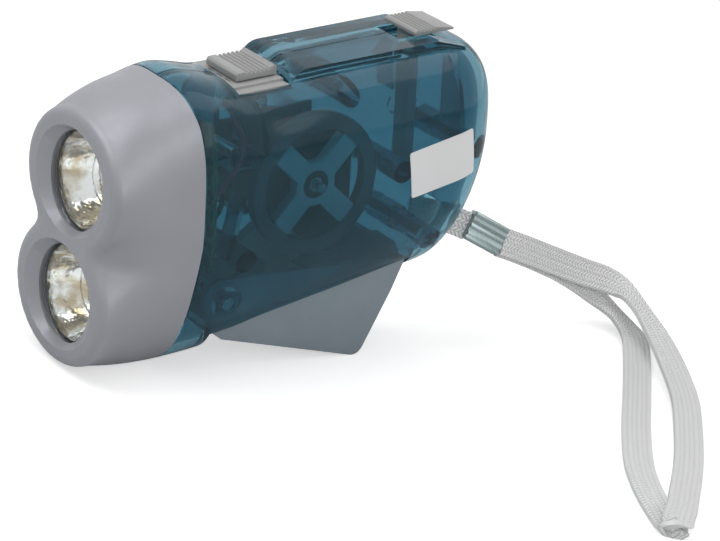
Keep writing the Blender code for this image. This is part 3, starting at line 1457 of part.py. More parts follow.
def electronics(switch_front):
    """The circuit board across the housing's mouth, its parts, the cell and the wires."""
    inset = WALL + GAP
    section = ring(-BOARD_X + BOARD_THICKNESS, inset)
    form = bmesh.new()
    rim = [
        form.verts.new((BOARD_THICKNESS / 2, y, min(max(z, BOARD_BOTTOM), BOARD_TOP)))
        for _, y, z in section
    ]
    face = form.faces.new(rim)
    grown = bmesh.ops.extrude_face_region(form, geom=[face])
    moved = [v for v in grown["geom"] if isinstance(v, bmesh.types.BMVert)]
    bmesh.ops.translate(form, verts=moved, vec=(-BOARD_THICKNESS, 0, 0))
    bmesh.ops.dissolve_limit(form, angle_limit=radians(0.5), verts=form.verts, edges=form.edges)
    board = link("circuit_board", mesh_from("circuit_board", form), GREEN_BOARD)
    board.location.x = BOARD_X - BOARD_THICKNESS / 2
    face_x = BOARD_X + GAP
    half = RECTIFIER_SIZE / 2
    box(
        "bridge_rectifier",
        (face_x, RECTIFIER_Y - half, RECTIFIER_Z - half),
        (face_x + RECTIFIER_HEIGHT, RECTIFIER_Y + half, RECTIFIER_Z + half),
        BLACK,
    )
    form = bmesh.new()
    bmesh.ops.create_cone(
        form,
        cap_ends=True,
        segments=SMALL_STEPS,
        radius1=CAPACITOR_RADIUS,
        radius2=CAPACITOR_RADIUS,
        depth=CAPACITOR_LENGTH,
    )
    can = link("smoothing_capacitor", mesh_from("smoothing_capacitor", form), CAPACITOR_BLUE)
    can.location = (face_x + CAPACITOR_RADIUS, CAPACITOR_Y, CAPACITOR_Z)
    end = -CELL_INNER_END - CELL_LENGTH
    rod("rechargeable_cell", CELL_RADIUS, end, -CELL_INNER_END, CELL_X, CELL_Z, STEEL, ROUND_STEPS)
    contact = -CELL_INNER_END + GAP
    box(
        "cell_contact",
        (CELL_X - CONTACT_HALF, contact, CELL_Z - CONTACT_HALF),
        (CELL_X + CONTACT_HALF, contact + CONTACT_THICKNESS, CELL_Z + CONTACT_HALF),
        BRASS,
    )
    back = BOARD_X - BOARD_THICKNESS - 2 * GAP
    red = [
        (back, 0.0095, -0.0048),
        (back - WIRE_RADIUS, 0.0095, -0.0048),
        (-0.0282, 0.0118, -0.0042),
        (-0.0306, 0.0127, -0.0008),
        (-0.0336, 0.0126, 0.0030),
        (-0.0352, 0.0104, 0.0064),
        (-0.0353, 0.0066, 0.0092),
        (switch_front + GAP + WIRE_RADIUS, 0.0034, 0.0105),
        (switch_front + GAP + WIRE_RADIUS, 0.0010, 0.0107),
    ]
    tube("red_wire", smooth_route(red, 18), WIRE_RADIUS, RED_WIRE)
    black = [
        (back, 0.0060, -0.0125),
        (back - WIRE_RADIUS, 0.0060, -0.0125),
        (-0.0282, 0.0072, -0.0128),
        (-0.0308, 0.0078, -0.0112),
        (-0.0328, 0.0066, -0.0092),
        (-0.0336, 0.0052, -0.0080),
    ]
    tube("black_wire", smooth_route(black, 10), WIRE_RADIUS, BLACK_WIRE)


def smooth_route(points, count):
    """Evenly spread points along a smooth curve through the route's own points."""
    ends = [2 * Vector(points[0]) - Vector(points[1])]
    ends += [Vector(p) for p in points]
    ends.append(2 * Vector(points[-1]) - Vector(points[-2]))
    fine = []
    for k in range(1, len(ends) - 2):
        a, b, c, d = ends[k - 1 : k + 3]
        for step in range(16):
            t = step / 16
            bend = (2 * a - 5 * b + 4 * c - d) * t**2 + (3 * b - a - 3 * c + d) * t**3
            fine.append(0.5 * (2 * b + (c - a) * t + bend))
    fine.append(ends[-2])
    lengths = [0.0]
    for a, b in zip(fine, fine[1:]):
        lengths.append(lengths[-1] + (b - a).length)
    spread = []
    for k in range(count + 1):
        want = lengths[-1] * k / count
        at = min(max(sum(length <= want for length in lengths) - 1, 0), len(fine) - 2)
        share = (want - lengths[at]) / (lengths[at + 1] - lengths[at])
        spread.append(tuple(fine[at].lerp(fine[at + 1], share)))
    return spread


def screws():
    for k, place in enumerate(SCREW_PLACES):
        seat = -screw_seat(place) - GAP
        shank_end = SCREW_REACH
        shank = rod(f"housing_screw_{k + 1}", SCREW_SHANK_RADIUS, seat - SINK, shank_end, *place, STEEL, 12)
        join(shank, rod(f"screw_head_{k + 1}", SCREW_HEAD_RADIUS, seat - SCREW_HEAD_HEIGHT, seat, *place))


def side_label():
    """A thin sheet that follows the left wall."""
    form = bmesh.new()
    turn = Matrix.Rotation(LABEL_TILT, 2)
    sheets = []
    for lift in (GAP, GAP + LABEL_THICKNESS):
        sheet = []
        for row in range(LABEL_ROWS + 1):
            line = []
            for column in range(LABEL_COLUMNS + 1):
                across = (column / LABEL_COLUMNS - 0.5) * LABEL_LENGTH
                up = (row / LABEL_ROWS - 0.5) * LABEL_HEIGHT
                x, z = turn @ Vector((across, up)) + Vector((LABEL_X, LABEL_Z))
                line.append(form.verts.new((x, side_y(x, z, -lift), z)))
            sheet.append(line)
        sheets.append(sheet)
    for sheet in sheets:
        for low, high in zip(sheet, sheet[1:]):
            for k in range(LABEL_COLUMNS):
                form.faces.new((low[k], low[k + 1], high[k + 1], high[k]))
    borders = []
    for sheet in sheets:
        right = [line[-1] for line in sheet[1:]]
        left = [line[0] for line in reversed(sheet[1:-1])]
        borders.append(sheet[0] + right + sheet[-1][-2::-1] + left)
    inner, outer = borders
    for k in range(len(inner)):
        after = (k + 1) % len(inner)
        form.faces.new((inner[k], inner[after], outer[after], outer[k]))
    link("side_label", mesh_from("side_label", form), LABEL_WHITE)


def wrist_strap():
    """A round stand-in for the flat strap: a stub, the metal crimp on it, and the loop."""
    stub = smooth_route(STUB_ROUTE, 8)
    tube("strap_stub", stub, STRAP_RADIUS, STRAP_WHITE, 2, None)
    tube("wrist_strap", smooth_route(STRAP_ROUTE, 76), STRAP_RADIUS, STRAP_WHITE, 2, None)
    near, far = Vector(STUB_ROUTE[-1]), Vector(STRAP_ROUTE[0])
    half = (far - near).length / 2 - 5 * GAP
    crimp = box(
        "strap_crimp",
        (-half, -CRIMP_HALF_WIDTH, -CRIMP_HALF_THICKNESS),
        (half, CRIMP_HALF_WIDTH, CRIMP_HALF_THICKNESS),
        STEEL,
        None,
    )
    crimp.location = (near + far) / 2
    crimp.rotation_euler = (near - far).to_track_quat("X", "Z").to_euler()


def stand_up():
    """Pitches the torch, then sets the middle of its footprint over the origin."""
    TORCH.rotation_euler = (0, PITCH, 0)
    bpy.context.view_layer.update()
    graph = bpy.context.evaluated_depsgraph_get()
    points = []
    for piece in PARTS.objects:
        if piece.type != "MESH":
            continue
        mesh = piece.evaluated_get(graph).to_mesh()
        points += [piece.matrix_world @ vertex.co for vertex in mesh.vertices]
    low = [min(values) for values in zip(*points)]
    high = [max(values) for values in zip(*points)]
    TORCH.location = (-(low[0] + high[0]) / 2, -(low[1] + high[1]) / 2, -low[2])


head_bezel()
for lamp_word, lamp_z in (("upper", 0.0), ("lower", -LAMP_SPACING)):
    lamp(lamp_word, lamp_z)
led_board()
SHARED = housing_cutters()
housing_half(1, SHARED)
housing_half(-1, SHARED)
SWITCH_FRONT = on_off_switch()
lock_slider()
lever()
FIRST, SECOND, ROTOR = gear_train()
flywheel()
generator()
gear_frame(FIRST, SECOND, ROTOR)
return_spring()
electronics(SWITCH_FRONT)
screws()
side_label()
stand_up()
wrist_strap()
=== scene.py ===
"""The looks of a squeeze dynamo flashlight: a silver twin-lamp head, a see-through teal housing with the
works inside it, grey thumb pieces and lever, and a flat woven wrist strap."""

import json
from math import cos, hypot, pi, radians, sin

import bmesh
import bpy
import numpy as np
from mathutils import Matrix, Vector
from mathutils.bvhtree import BVHTree
from mathutils.interpolate import poly_3d_calc


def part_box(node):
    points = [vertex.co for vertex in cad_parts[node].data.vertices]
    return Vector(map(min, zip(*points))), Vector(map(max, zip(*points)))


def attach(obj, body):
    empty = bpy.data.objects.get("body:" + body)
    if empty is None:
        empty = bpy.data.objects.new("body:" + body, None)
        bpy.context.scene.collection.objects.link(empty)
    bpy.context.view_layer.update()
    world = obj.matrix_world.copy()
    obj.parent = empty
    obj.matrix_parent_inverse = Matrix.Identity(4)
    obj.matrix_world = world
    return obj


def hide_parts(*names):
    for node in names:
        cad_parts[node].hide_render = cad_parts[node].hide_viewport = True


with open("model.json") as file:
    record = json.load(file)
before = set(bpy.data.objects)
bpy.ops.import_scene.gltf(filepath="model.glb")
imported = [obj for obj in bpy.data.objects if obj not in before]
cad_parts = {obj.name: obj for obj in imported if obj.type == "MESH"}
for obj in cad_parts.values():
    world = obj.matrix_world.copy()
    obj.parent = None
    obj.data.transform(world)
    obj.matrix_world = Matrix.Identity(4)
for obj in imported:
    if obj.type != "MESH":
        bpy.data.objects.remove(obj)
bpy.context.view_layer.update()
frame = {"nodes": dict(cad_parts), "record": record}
NODES = frame["nodes"]
BODIES = frame["record"]["behaviour"]["bodies"]
BODY_OF = {node: body for body, nodes in BODIES.items() for node in nodes}

# The torch's own axes: X ahead through the upper lamp's mouth, Z up, before it is pitched onto its belly
TORCH = Matrix(
    (
        (0.98586136, 0.0, 0.16756295, 0.05060074),
        (0.0, 1.0, 0.0, -0.00014172),
        (-0.16756295, 0.0, 0.98586136, 0.0407716),
        (0.0, 0.0, 0.0, 1.0),
    )
)
HEAD_TILT = radians(6.84)
LAMPS = TORCH @ Matrix.Rotation(-HEAD_TILT, 4, "Y")
LAMP_SPACING = 0.02518


# Camera: its lens, its own axes and its place

LENS_MM = 123.6
SENSOR_MM = 36
CAMERA_ACROSS = (-0.79546, 0.57689, 0.18557)
CAMERA_UP = (-0.05884, -0.37829, 0.92381)
CAMERA_BACK = (0.60314, 0.72394, 0.33486)
CAMERA_PLACE = (0.30991, 0.40806, 0.20468)


def photo_camera():
    lens = bpy.data.cameras.new("photo_camera")
    lens.lens = LENS_MM
    lens.sensor_width = SENSOR_MM
    lens.sensor_fit = "HORIZONTAL"
    shot = bpy.data.objects.new("photo_camera", lens)
    bpy.context.scene.collection.objects.link(shot)
    columns = (CAMERA_ACROSS, CAMERA_UP, CAMERA_BACK, CAMERA_PLACE)
    shot.matrix_world = Matrix((*zip(*columns), (0, 0, 0, 1)))
    bpy.context.scene.camera = shot


# Colours; tones run from dark to light

SILVER_GREY = (0.36, 0.37, 0.405)
TEAL = (0.05, 0.30, 0.38)
TEAL_TONES = ((0.110, 0.270, 0.345), (0.160, 0.365, 0.455))
WARM_GREY = (0.36, 0.365, 0.36)
LEVER_GREY = (0.25, 0.305, 0.345)
CHROME = (0.86, 0.85, 0.82)
# Painted reflections: the dark gold and pale silver patches put into the reflector's metal colour
CHROME_REFLECTION_TONES = ((0.40, 0.33, 0.20), (0.70, 0.72, 0.72))
LENS_CLEAR = (0.97, 0.985, 0.98)
RESIN_CLEAR = (0.95, 0.96, 0.92)
PHOSPHOR_YELLOW = (0.80, 0.66, 0.10)
LAMINATE = (0.03, 0.20, 0.08)
LAMINATE_TONES = ((0.02, 0.15, 0.06), (0.07, 0.30, 0.12))
BLACK = (0.016, 0.016, 0.018)
BRIGHT_STEEL = (0.62, 0.62, 0.63)
PLATED_STEEL = (0.33, 0.40, 0.405)
BLACKENED_STEEL = (0.085, 0.09, 0.10)
SPRING_STEEL = (0.50, 0.50, 0.51)
CORE_STEEL = (0.25, 0.25, 0.26)
CORE_TONES = ((0.10, 0.10, 0.10), (0.32, 0.32, 0.33))
BRASS = (0.70, 0.50, 0.20)
ENAMELLED_COPPER = (0.55, 0.20, 0.07)
# The dark tone is painted shade in the grooves between the winding's turns
COPPER_SHADED_TONES = ((0.30, 0.08, 0.03), (0.72, 0.30, 0.12))
CELL_STEEL = (0.55, 0.56, 0.55)
NYLON = (0.66, 0.66, 0.61)
ZINC = (0.74, 0.77, 0.79)
FERRITE = (0.06, 0.06, 0.065)
WIRE_RED = (0.95, 0.05, 0.12)
WIRE_BLACK = (0.02, 0.02, 0.022)
SLEEVE_BLUE = (0.03, 0.06, 0.25)
LABEL_WHITE = (0.86, 0.865, 0.87)
BRAID = (0.80, 0.81, 0.82)
# The dark tone is painted shade in the dips between the braid's yarns
BRAID_SHADED_TONES = ((0.72, 0.73, 0.73), (0.97, 0.975, 0.97))
WHITE = (1, 1, 1, 1)
FLOOR_WHITE = (0.80, 0.80, 0.80)

# A share of the flywheel's radius and how light it is painted there: a light shaft end, painted shade in
# a dark ring round it, a painted highlight over the spokes, painted shade on the rim
FLYWHEEL_PAINTED_LIGHT_TONES = (
    (0.0, 0.75),
    (0.09, 0.75),
    (0.11, 0.05),
    (0.19, 0.05),
    (0.21, 0.90),
    (0.74, 0.80),
    (0.79, 0.17),
    (1.0, 0.15),
)
FLYWHEEL_RED_SHARE = 0.96
BRAID_ROWS = 6.0
BRAID_SLANT = 0.9


# Materials


def finish(name, colour, roughness, metallic=0.0):
    """A new material; its own nodes are added by the function that asks for it."""
    made = bpy.data.materials.new(name)
    made.use_nodes = True
    shader = made.node_tree.nodes["Principled BSDF"]
    shader.inputs["Base Color"].default_value = (*colour, 1)
    shader.inputs["Roughness"].default_value = roughness
    shader.inputs["Metallic"].default_value = metallic
    return made


def node_in(made, kind, **values):
    """A new node, with its sockets and its settings set by name."""
    node = made.node_tree.nodes.new(kind)
    for key, value in values.items():
        if key in node.inputs:
            node.inputs[key].default_value = value
        else:
            setattr(node, key, value)
    return node


def wire(made, start, end):
    made.node_tree.links.new(start, end)


def shader_of(made):
    return made.node_tree.nodes["Principled BSDF"]


def place_of(made, **mapping):
    """The object's own coordinates, moved, turned or stretched where that is given."""
    place = node_in(made, "ShaderNodeTexCoord").outputs["Object"]
    if not mapping:
        return place
    mapped = node_in(made, "ShaderNodeMapping", **mapping)
    wire(made, place, mapped.inputs["Vector"])
    return mapped.outputs["Vector"]


def speckle(made, scale, detail=3.0, **mapping):
    noise = node_in(made, "ShaderNodeTexNoise", Scale=scale, Detail=detail)
    wire(made, place_of(made, **mapping), noise.inputs["Vector"])
    return noise.outputs["Fac"]


def between(made, source, low, high, start=0.35, stop=0.65):
    """A number that goes from low to high as the source goes from start to stop."""
    spread = node_in(made, "ShaderNodeMapRange")
    for key, value in (("From Min", start), ("From Max", stop), ("To Min", low), ("To Max", high)):
        spread.inputs[key].default_value = value
    wire(made, source, spread.inputs["Value"])
    return spread.outputs["Result"]


def coloured(made, source, dark, light, start=0.3, stop=0.7):
    """Colours the surface from dark to light as the source goes from start to stop."""
    ramp = node_in(made, "ShaderNodeValToRGB")
    ramp.color_ramp.elements[0].position = start
    ramp.color_ramp.elements[1].position = stop
    ramp.color_ramp.elements[0].color = (*dark, 1)
    ramp.color_ramp.elements[1].color = (*light, 1)
    wire(made, source, ramp.inputs["Fac"])
    wire(made, ramp.outputs["Color"], shader_of(made).inputs["Base Color"])


def rough(made, source, low, high):
    wire(made, between(made, source, low, high), shader_of(made).inputs["Roughness"])


def grain(made, height, depth, strength):
    """Raises the surface by a source, depth in metres."""
    bump = node_in(made, "ShaderNodeBump", Strength=strength, Distance=depth)
    wire(made, height, bump.inputs["Height"])
    wire(made, bump.outputs["Normal"], shader_of(made).inputs["Normal"])


def moulded_skin(made, roughness, fine, depth, strength):
    """The mould's own grain, with slow drifts of roughness."""
    rough(made, speckle(made, 420, detail=4.0), roughness * 0.88, roughness * 1.12)
    grain(made, speckle(made, fine, detail=2.0), depth, strength)


def moulded(name, colour, roughness, fine=5200, depth=0.00002, strength=0.25, tone=0.05):
    """Moulded plastic: a faint spark-eroded grain, slow drifts of tone and of roughness."""
    made = finish(name, colour, roughness)
    coloured(made, speckle(made, 90), [c * (1 - tone) for c in colour], [c * (1 + tone) for c in colour])
    moulded_skin(made, roughness, fine, depth, strength)
    return made


def silver_finish():
    """Grey plastic with a fine metal flake in it."""
    made = moulded(
        "silver_grey_moulding", SILVER_GREY, 0.42, fine=6500, depth=0.000012, strength=0.3, tone=0.03
    )
    shader = shader_of(made)
    shader.inputs["Metallic"].default_value = 0.15
    shader.inputs["Specular IOR Level"].default_value = 0.4
    return made


def teal_finish():
    """Glossy see-through plastic, with slow drifts of tone and faint smears."""
    made = finish("teal_see_through_moulding", TEAL, roughness=0.06)
    shader = shader_of(made)
    shader.inputs["Transmission Weight"].default_value = 0.9
    shader.inputs["IOR"].default_value = 1.25
    coloured(made, speckle(made, 38), *TEAL_TONES)
    rough(made, speckle(made, 160, detail=4.0, Scale=(1.0, 1.0, 2.5)), 0.03, 0.085)
    grain(made, speckle(made, 260, detail=2.0), depth=0.00002, strength=0.1)
    return made


def chrome_finish():
    """Vacuum-metallised plastic, with painted reflections: random patches from dark gold to pale silver
    in its colour.
    """
    made = finish("metallised_bowl", CHROME, roughness=0.06, metallic=1.0)
    # Painted reflection: random patches between dark gold and pale silver
    coloured(made, speckle(made, 260), *CHROME_REFLECTION_TONES, start=0.38, stop=0.58)
    rough(made, speckle(made, 700), 0.04, 0.10)
    grain(made, speckle(made, 420, detail=2.0), depth=0.0004, strength=0.55)
    return made


def clear_finish():
    made = finish("clear_lens", LENS_CLEAR, roughness=0.02)
    shader = shader_of(made)
    shader.inputs["Transmission Weight"].default_value = 1.0
    shader.inputs["IOR"].default_value = 1.35
    rough(made, speckle(made, 500), 0.01, 0.04)
    grain(made, speckle(made, 320, detail=2.0), depth=0.00001, strength=0.1)
    return made


def resin_finish():
    """The diode's water-clear epoxy, faintly milky."""
    made = finish("diode_resin", RESIN_CLEAR, roughness=0.05)
    shader = shader_of(made)
    shader.inputs["Transmission Weight"].default_value = 0.8
    shader.inputs["IOR"].default_value = 1.45
    rough(made, speckle(made, 900), 0.03, 0.09)
    grain(made, speckle(made, 1500, detail=2.0), depth=0.00001, strength=0.1)
    return made


def metal(name, colour, roughness, stretch=(1, 12, 1), scale=900):
    """Metal with drawn or turned marks along one axis."""
    made = finish(name, colour, roughness, metallic=1.0)
    marks = speckle(made, scale, Scale=stretch)
    coloured(made, marks, [c * 0.85 for c in colour], [min(1.0, c * 1.1) for c in colour])
    rough(made, marks, roughness * 0.75, roughness * 1.3)
    grain(made, marks, depth=0.00001, strength=0.3)
    return made


def banded(made, colours, waves, depth, strength, mapping=None, **limits):
    """Fine bands over the object's own coordinates, raised where they are light."""
    bands = node_in(made, "ShaderNodeTexWave", **waves)
    wire(made, place_of(made, **(mapping or {})), bands.inputs["Vector"])
    coloured(made, bands.outputs["Fac"], *colours, **limits)
    grain(made, bands.outputs["Fac"], depth, strength)
    return made


def board_finish():
    """Green lacquer over laminate, with copper tracks showing as lighter lines."""
    made = finish("lacquered_laminate", LAMINATE, roughness=0.35)
    tracks = {"Scale": 260.0, "Distortion": 9.0, "Detail": 1.0}
    return banded(made, LAMINATE_TONES, tracks, depth=0.00004, strength=0.4, start=0.55, stop=0.75)


def core_finish():
    """Stacked laminations: fine dark lines between thin steel sheets."""
    made = finish("laminated_core", CORE_STEEL, roughness=0.4, metallic=0.9)
    sheets, turned = {"Scale": 320.0, "Distortion": 0.4}, {"Rotation": (0, 0, pi / 2)}
    return banded(made, CORE_TONES, sheets, depth=0.00005, strength=0.5, mapping=turned)


def winding_finish():
    """Enamelled wire, laid turn by turn along Z, with painted shade darkening the grooves between turns.
    """
    made = finish("enamelled_wire", ENAMELLED_COPPER, roughness=0.28, metallic=0.9)
    turns, turned = {"Scale": 900.0, "Distortion": 0.8, "Detail": 1.0}, {"Rotation": (0, pi / 2, 0)}
    # Painted shade: the bands are dark in the low grooves between turns
    return banded(made, COPPER_SHADED_TONES, turns, depth=0.0001, strength=0.8, mapping=turned)


def nylon_finish():
    """Milky plastic that lets a little light in under its skin."""
    made = moulded("natural_nylon", NYLON, 0.45)
    shader = shader_of(made)
    shader.inputs["Subsurface Weight"].default_value = 0.15
    shader.inputs["Subsurface Radius"].default_value = (0.001, 0.001, 0.001)
    return made


def flywheel_finish():
    """Grey casting coloured by radius: a light shaft end, painted shade in a dark ring round it, a
    painted highlight over the spokes and painted shade on the rim.
    """
    made = finish("zinc_grey_casting", ZINC, roughness=0.32, metallic=0.35)
    moulded_skin(made, 0.32, fine=3000, depth=0.00003, strength=0.4)
    low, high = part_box("flywheel")
    middle, outer = (low + high) / 2, (high.x - low.x) / 2
    centred = place_of(made, Location=(-middle.x, 0, -middle.z), Scale=(1, 0, 1))
    radius = node_in(made, "ShaderNodeVectorMath", operation="LENGTH")
    wire(made, centred, radius.inputs[0])
    share = between(made, radius.outputs["Value"], 0.0, 1.0, start=0.0, stop=outer)
    # Bands by radius: painted shade at the hub ring and the rim, and a painted highlight over the spokes
    bands = node_in(made, "ShaderNodeValToRGB")
    stops = bands.color_ramp.elements
    while len(stops) < len(FLYWHEEL_PAINTED_LIGHT_TONES):
        stops.new(1.0)
    for stop, (at, tone) in zip(stops, FLYWHEEL_PAINTED_LIGHT_TONES):
        stop.position = at
        stop.color = (tone * FLYWHEEL_RED_SHARE, tone, tone, 1)
    wire(made, share, bands.inputs["Fac"])
    wire(made, bands.outputs["Color"], shader_of(made).inputs["Base Color"])
    return made


def insulation(name, colour):
    """Soft sleeve over wire or a can, a little uneven."""
    return moulded(name, colour, 0.38, fine=1500, strength=0.3, tone=0.1)


def braid_finish():
    """Bright flat yarns that cross in lengthwise rows, read from the ribbon's own UV map, with painted
    shade darkening the dips between the yarns.
    """
    made = finish("woven_braid", BRAID, roughness=0.45)
    shader = shader_of(made)
    flat = node_in(made, "ShaderNodeUVMap", uv_map="braid")
    split = node_in(made, "ShaderNodeSeparateXYZ")
    wire(made, flat.outputs["UV"], split.inputs["Vector"])

    def calc(operation, *values):
        step = node_in(made, "ShaderNodeMath", operation=operation)
        for socket, value in zip(step.inputs, values):
            if isinstance(value, (int, float)):
                socket.default_value = value
            else:
                wire(made, value, socket)
        return step.outputs[0]

    across = calc("MULTIPLY", split.outputs["X"], BRAID_ROWS)
    fold = calc("PINGPONG", across, 1.0)
    slant = calc("ADD", split.outputs["Y"], calc("MULTIPLY", fold, BRAID_SLANT))
    yarn = calc("ABSOLUTE", calc("SINE", calc("MULTIPLY", slant, pi)))
    ridge = calc("SINE", calc("MULTIPLY", fold, pi))
    rounded = calc("POWER", yarn, 0.6)
    height = calc("MULTIPLY", rounded, calc("ADD", calc("MULTIPLY", ridge, 0.6), 0.4))
    # Painted shade: the colour darkens where the yarns dip low
    coloured(made, height, *BRAID_SHADED_TONES, start=0.05, stop=0.7)
    rough(made, speckle(made, 2600), 0.32, 0.6)
    shader.inputs["Sheen Weight"].default_value = 0.25
    shader.inputs["Sheen Roughness"].default_value = 0.4
    grain(made, height, depth=0.0005, strength=0.8)
    return made


# Meshes: angles in degrees, distances in metres

CRISP_ANGLE = 35
SHARP_ANGLE = 28
FOLD_ANGLE = 60
FLAT_ANGLE = 3
NEVER_CRISP = 180
MERGED_WITHIN = 2e-6
SMALLEST_EDGE = 1e-6


def link(name, mesh):
    made = bpy.data.objects.new(name, mesh)
    bpy.context.scene.collection.objects.link(made)
    return made


def mesh_of(name, form, smooth=CRISP_ANGLE):
    """Ends a bmesh: smooth faces, with the edges over an angle kept crisp."""
    limit = radians(smooth)
    for face in form.faces:
        face.smooth = True
    for edge in form.edges:
        edge.smooth = len(edge.link_faces) == 2 and edge.calc_face_angle(0) < limit
    mesh = bpy.data.meshes.new(name)
    form.to_mesh(mesh)
    form.free()
    return mesh


def show(name, form, look, replaces, smooth=CRISP_ANGLE):
    """Links a finished bmesh as the piece that stands for CAD nodes and rides on their body."""
    made = link(name, mesh_of(name, form, smooth))
    made.data.materials.clear()
    made.data.materials.append(look)
    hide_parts(*replaces)
    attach(made, BODY_OF[replaces[0]])
    return made


def merged(node):
    """A CAD solid as one closed skin."""
    form = bmesh.new()
    form.from_mesh(NODES[node].data)
    bmesh.ops.remove_doubles(form, verts=form.verts, dist=MERGED_WITHIN)
    bmesh.ops.dissolve_degenerate(form, dist=SMALLEST_EDGE, edges=form.edges)
    return form


def with_whole_faces(node):
    """A CAD solid as one closed skin, with its flat faces made whole."""
    form = merged(node)
    bmesh.ops.dissolve_limit(form, angle_limit=radians(FLAT_ANGLE), verts=form.verts, edges=form.edges)
    return form


def sharp_edges(form, angle):
    return [e for e in form.edges if len(e.link_faces) == 2 and e.calc_face_angle(0) > radians(angle)]


def round_over(form, edges, width, segments=3, clamped=False):
    bmesh.ops.bevel(
        form,
        geom=edges,
        offset=width,
        segments=segments,
        profile=0.5,
        affect="EDGES",
        material=-1,
        clamp_overlap=clamped,
    )


def eased(node, look, width):
    """A copy of a CAD solid with its sharp edges eased by a width, where one is given."""
    form = with_whole_faces(node)
    if width:
        round_over(form, sharp_edges(form, SHARP_ANGLE), width, segments=2, clamped=True)
    bmesh.ops.triangulate(form, faces=[f for f in form.faces if len(f.verts) > 4])
    show(node + "_finish", form, look, [node])


# The body's own surface

BODY_LENGTH = 0.103
TOP_HEIGHT = 0.0223
BOTTOM_DEPTH = 0.0443
HALF_WIDTH = 0.0185
WIDEST_DROP = 0.004
REAR_CORNER = 0.0165
UPPER_POWER = 3.0
LOWER_POWER = 2.2
HEAD_DEPTH = 0.020
RIM_RADIUS = 0.0151
RIM_HALF_WIDTH = 0.0188
RIM_SETBACK = 0.002
LIP_ROUNDING = 0.002
WAIST_BLEND = 0.0052
HEAD_SWELL_POWER = 2.6

# Length, top, bottom and middle as shares of BODY_LENGTH, TOP_HEIGHT, BOTTOM_DEPTH and WIDEST_DROP
PROFILE_SHARES = (
    (0.000, 0.870, 0.985, 1.0),
    (0.097, 0.845, 0.995, 1.0),
    (0.150, 0.850, 0.998, 1.0),
    (0.194, 0.885, 1.000, 1.0),
    (0.233, 0.905, 1.000, 1.0),
    (0.272, 0.870, 0.997, 1.0),
    (0.330, 0.800, 0.985, 1.0),
    (0.388, 0.775, 0.960, 1.0),
    (0.485, 0.800, 0.930, 1.0),
    (0.583, 0.807, 0.900, 1.0),
    (0.767, 0.807, 0.835, 1.0),
    (0.835, 0.803, 0.815, 1.0),
    (0.874, 0.795, 0.760, 1.0),
    (0.903, 0.775, 0.675, 0.85),
    (0.932, 0.740, 0.550, 0.62),
    (0.961, 0.630, 0.375, 0.36),
    (0.981, 0.470, 0.225, 0.18),
    (0.994, 0.310, 0.105, 0.06),
    (1.000, 0.200, 0.040, 0.0),
)
SECTION_POINTS = 144
HALVINGS = 30


def smooth_value(knots, values, at):
    """A curve through the knots that never swings past them."""
    spans = [b - a for a, b in zip(knots, knots[1:])]
    rises = [(b - a) / span for a, b, span in zip(values, values[1:], spans)]
    slopes = [rises[0]]
    for before, after in zip(rises, rises[1:]):
        slopes.append(0 if before * after <= 0 else 2 * before * after / (before + after))
    slopes.append(rises[-1])
    k = max(0, min(len(spans) - 1, sum(at >= knot for knot in knots) - 1))
    t = (at - knots[k]) / spans[k]
    start = values[k] * (2 * t**3 - 3 * t**2 + 1) + slopes[k] * spans[k] * (t**3 - 2 * t**2 + t)
    return start + values[k + 1] * (3 * t**2 - 2 * t**3) + slopes[k + 1] * spans[k] * (t**3 - t**2)


def profile_at(behind):
    columns = list(zip(*PROFILE_SHARES))
    share = behind / BODY_LENGTH
    top = TOP_HEIGHT * smooth_value(columns[0], columns[1], share)
    bottom = -BOTTOM_DEPTH * smooth_value(columns[0], columns[2], share)
    keep = smooth_value(columns[0], columns[3], share)
    middle = -keep * WIDEST_DROP + (1 - keep) * (top + bottom) / 2
    past = max(0.0, behind - (BODY_LENGTH - REAR_CORNER))
    half = HALF_WIDTH - REAR_CORNER + max(REAR_CORNER**2 - past**2, 0.0) ** 0.5
    return top, bottom, half, middle


def reach(inside, middle, angles):
    """How far an outline lies from (0, middle) at each angle."""
    near = np.zeros(len(angles))
    far = np.full(len(angles), BODY_LENGTH)
    for _ in range(HALVINGS):
        half = (near + far) / 2
        within = inside(half * np.cos(angles), middle + half * np.sin(angles))
        near = np.where(within, half, near)
        far = np.where(within, far, half)
    return near


def section(behind):
    """The body's outline at a distance behind the mouths: the lamps' eight melts into an oval."""
    swell = max(0.0, min(1.0, (behind - RIM_SETBACK) / HEAD_DEPTH))
    oval_share = 1 - (1 - swell) ** HEAD_SWELL_POWER
    top, bottom, half, widest = profile_at(behind)
    middle = oval_share * (top + bottom) / 2 - (1 - oval_share) * LAMP_SPACING / 2
    tilt = HEAD_TILT * (1 - swell)
    angles = 2 * pi * (np.arange(SECTION_POINTS) + 0.5) / SECTION_POINTS

    def oval(y, z):
        height = np.where(z > widest, top - widest, widest - bottom)
        power = np.where(z > widest, UPPER_POWER, LOWER_POWER)
        return (np.abs(y) / half) ** power + (np.abs(z - widest) / height) ** power < 1

    lip = max(0.0, 1 - behind / RIM_SETBACK)
    rim = RIM_RADIUS - LIP_ROUNDING * (1 - (1 - lip**2) ** 0.5)

    def eight(y, z):
        narrowed = y * RIM_RADIUS / RIM_HALF_WIDTH
        upper = np.hypot(narrowed, z) - rim
        lower = np.hypot(narrowed, z + LAMP_SPACING) - rim
        blend = np.clip(0.5 + 0.5 * (lower - upper) / WAIST_BLEND, 0, 1)
        return lower + (upper - lower) * blend - WAIST_BLEND * blend * (1 - blend) < 0

    radius = reach(oval, middle, angles) * oval_share
    if oval_share < 1:
        radius = radius + reach(eight, middle, angles) * (1 - oval_share)
    z = middle + radius * np.sin(angles)
    return [
        TORCH @ Vector((-behind - up * sin(tilt), out, up * cos(tilt)))
        for up, out in zip(z, radius * np.cos(angles))
    ]


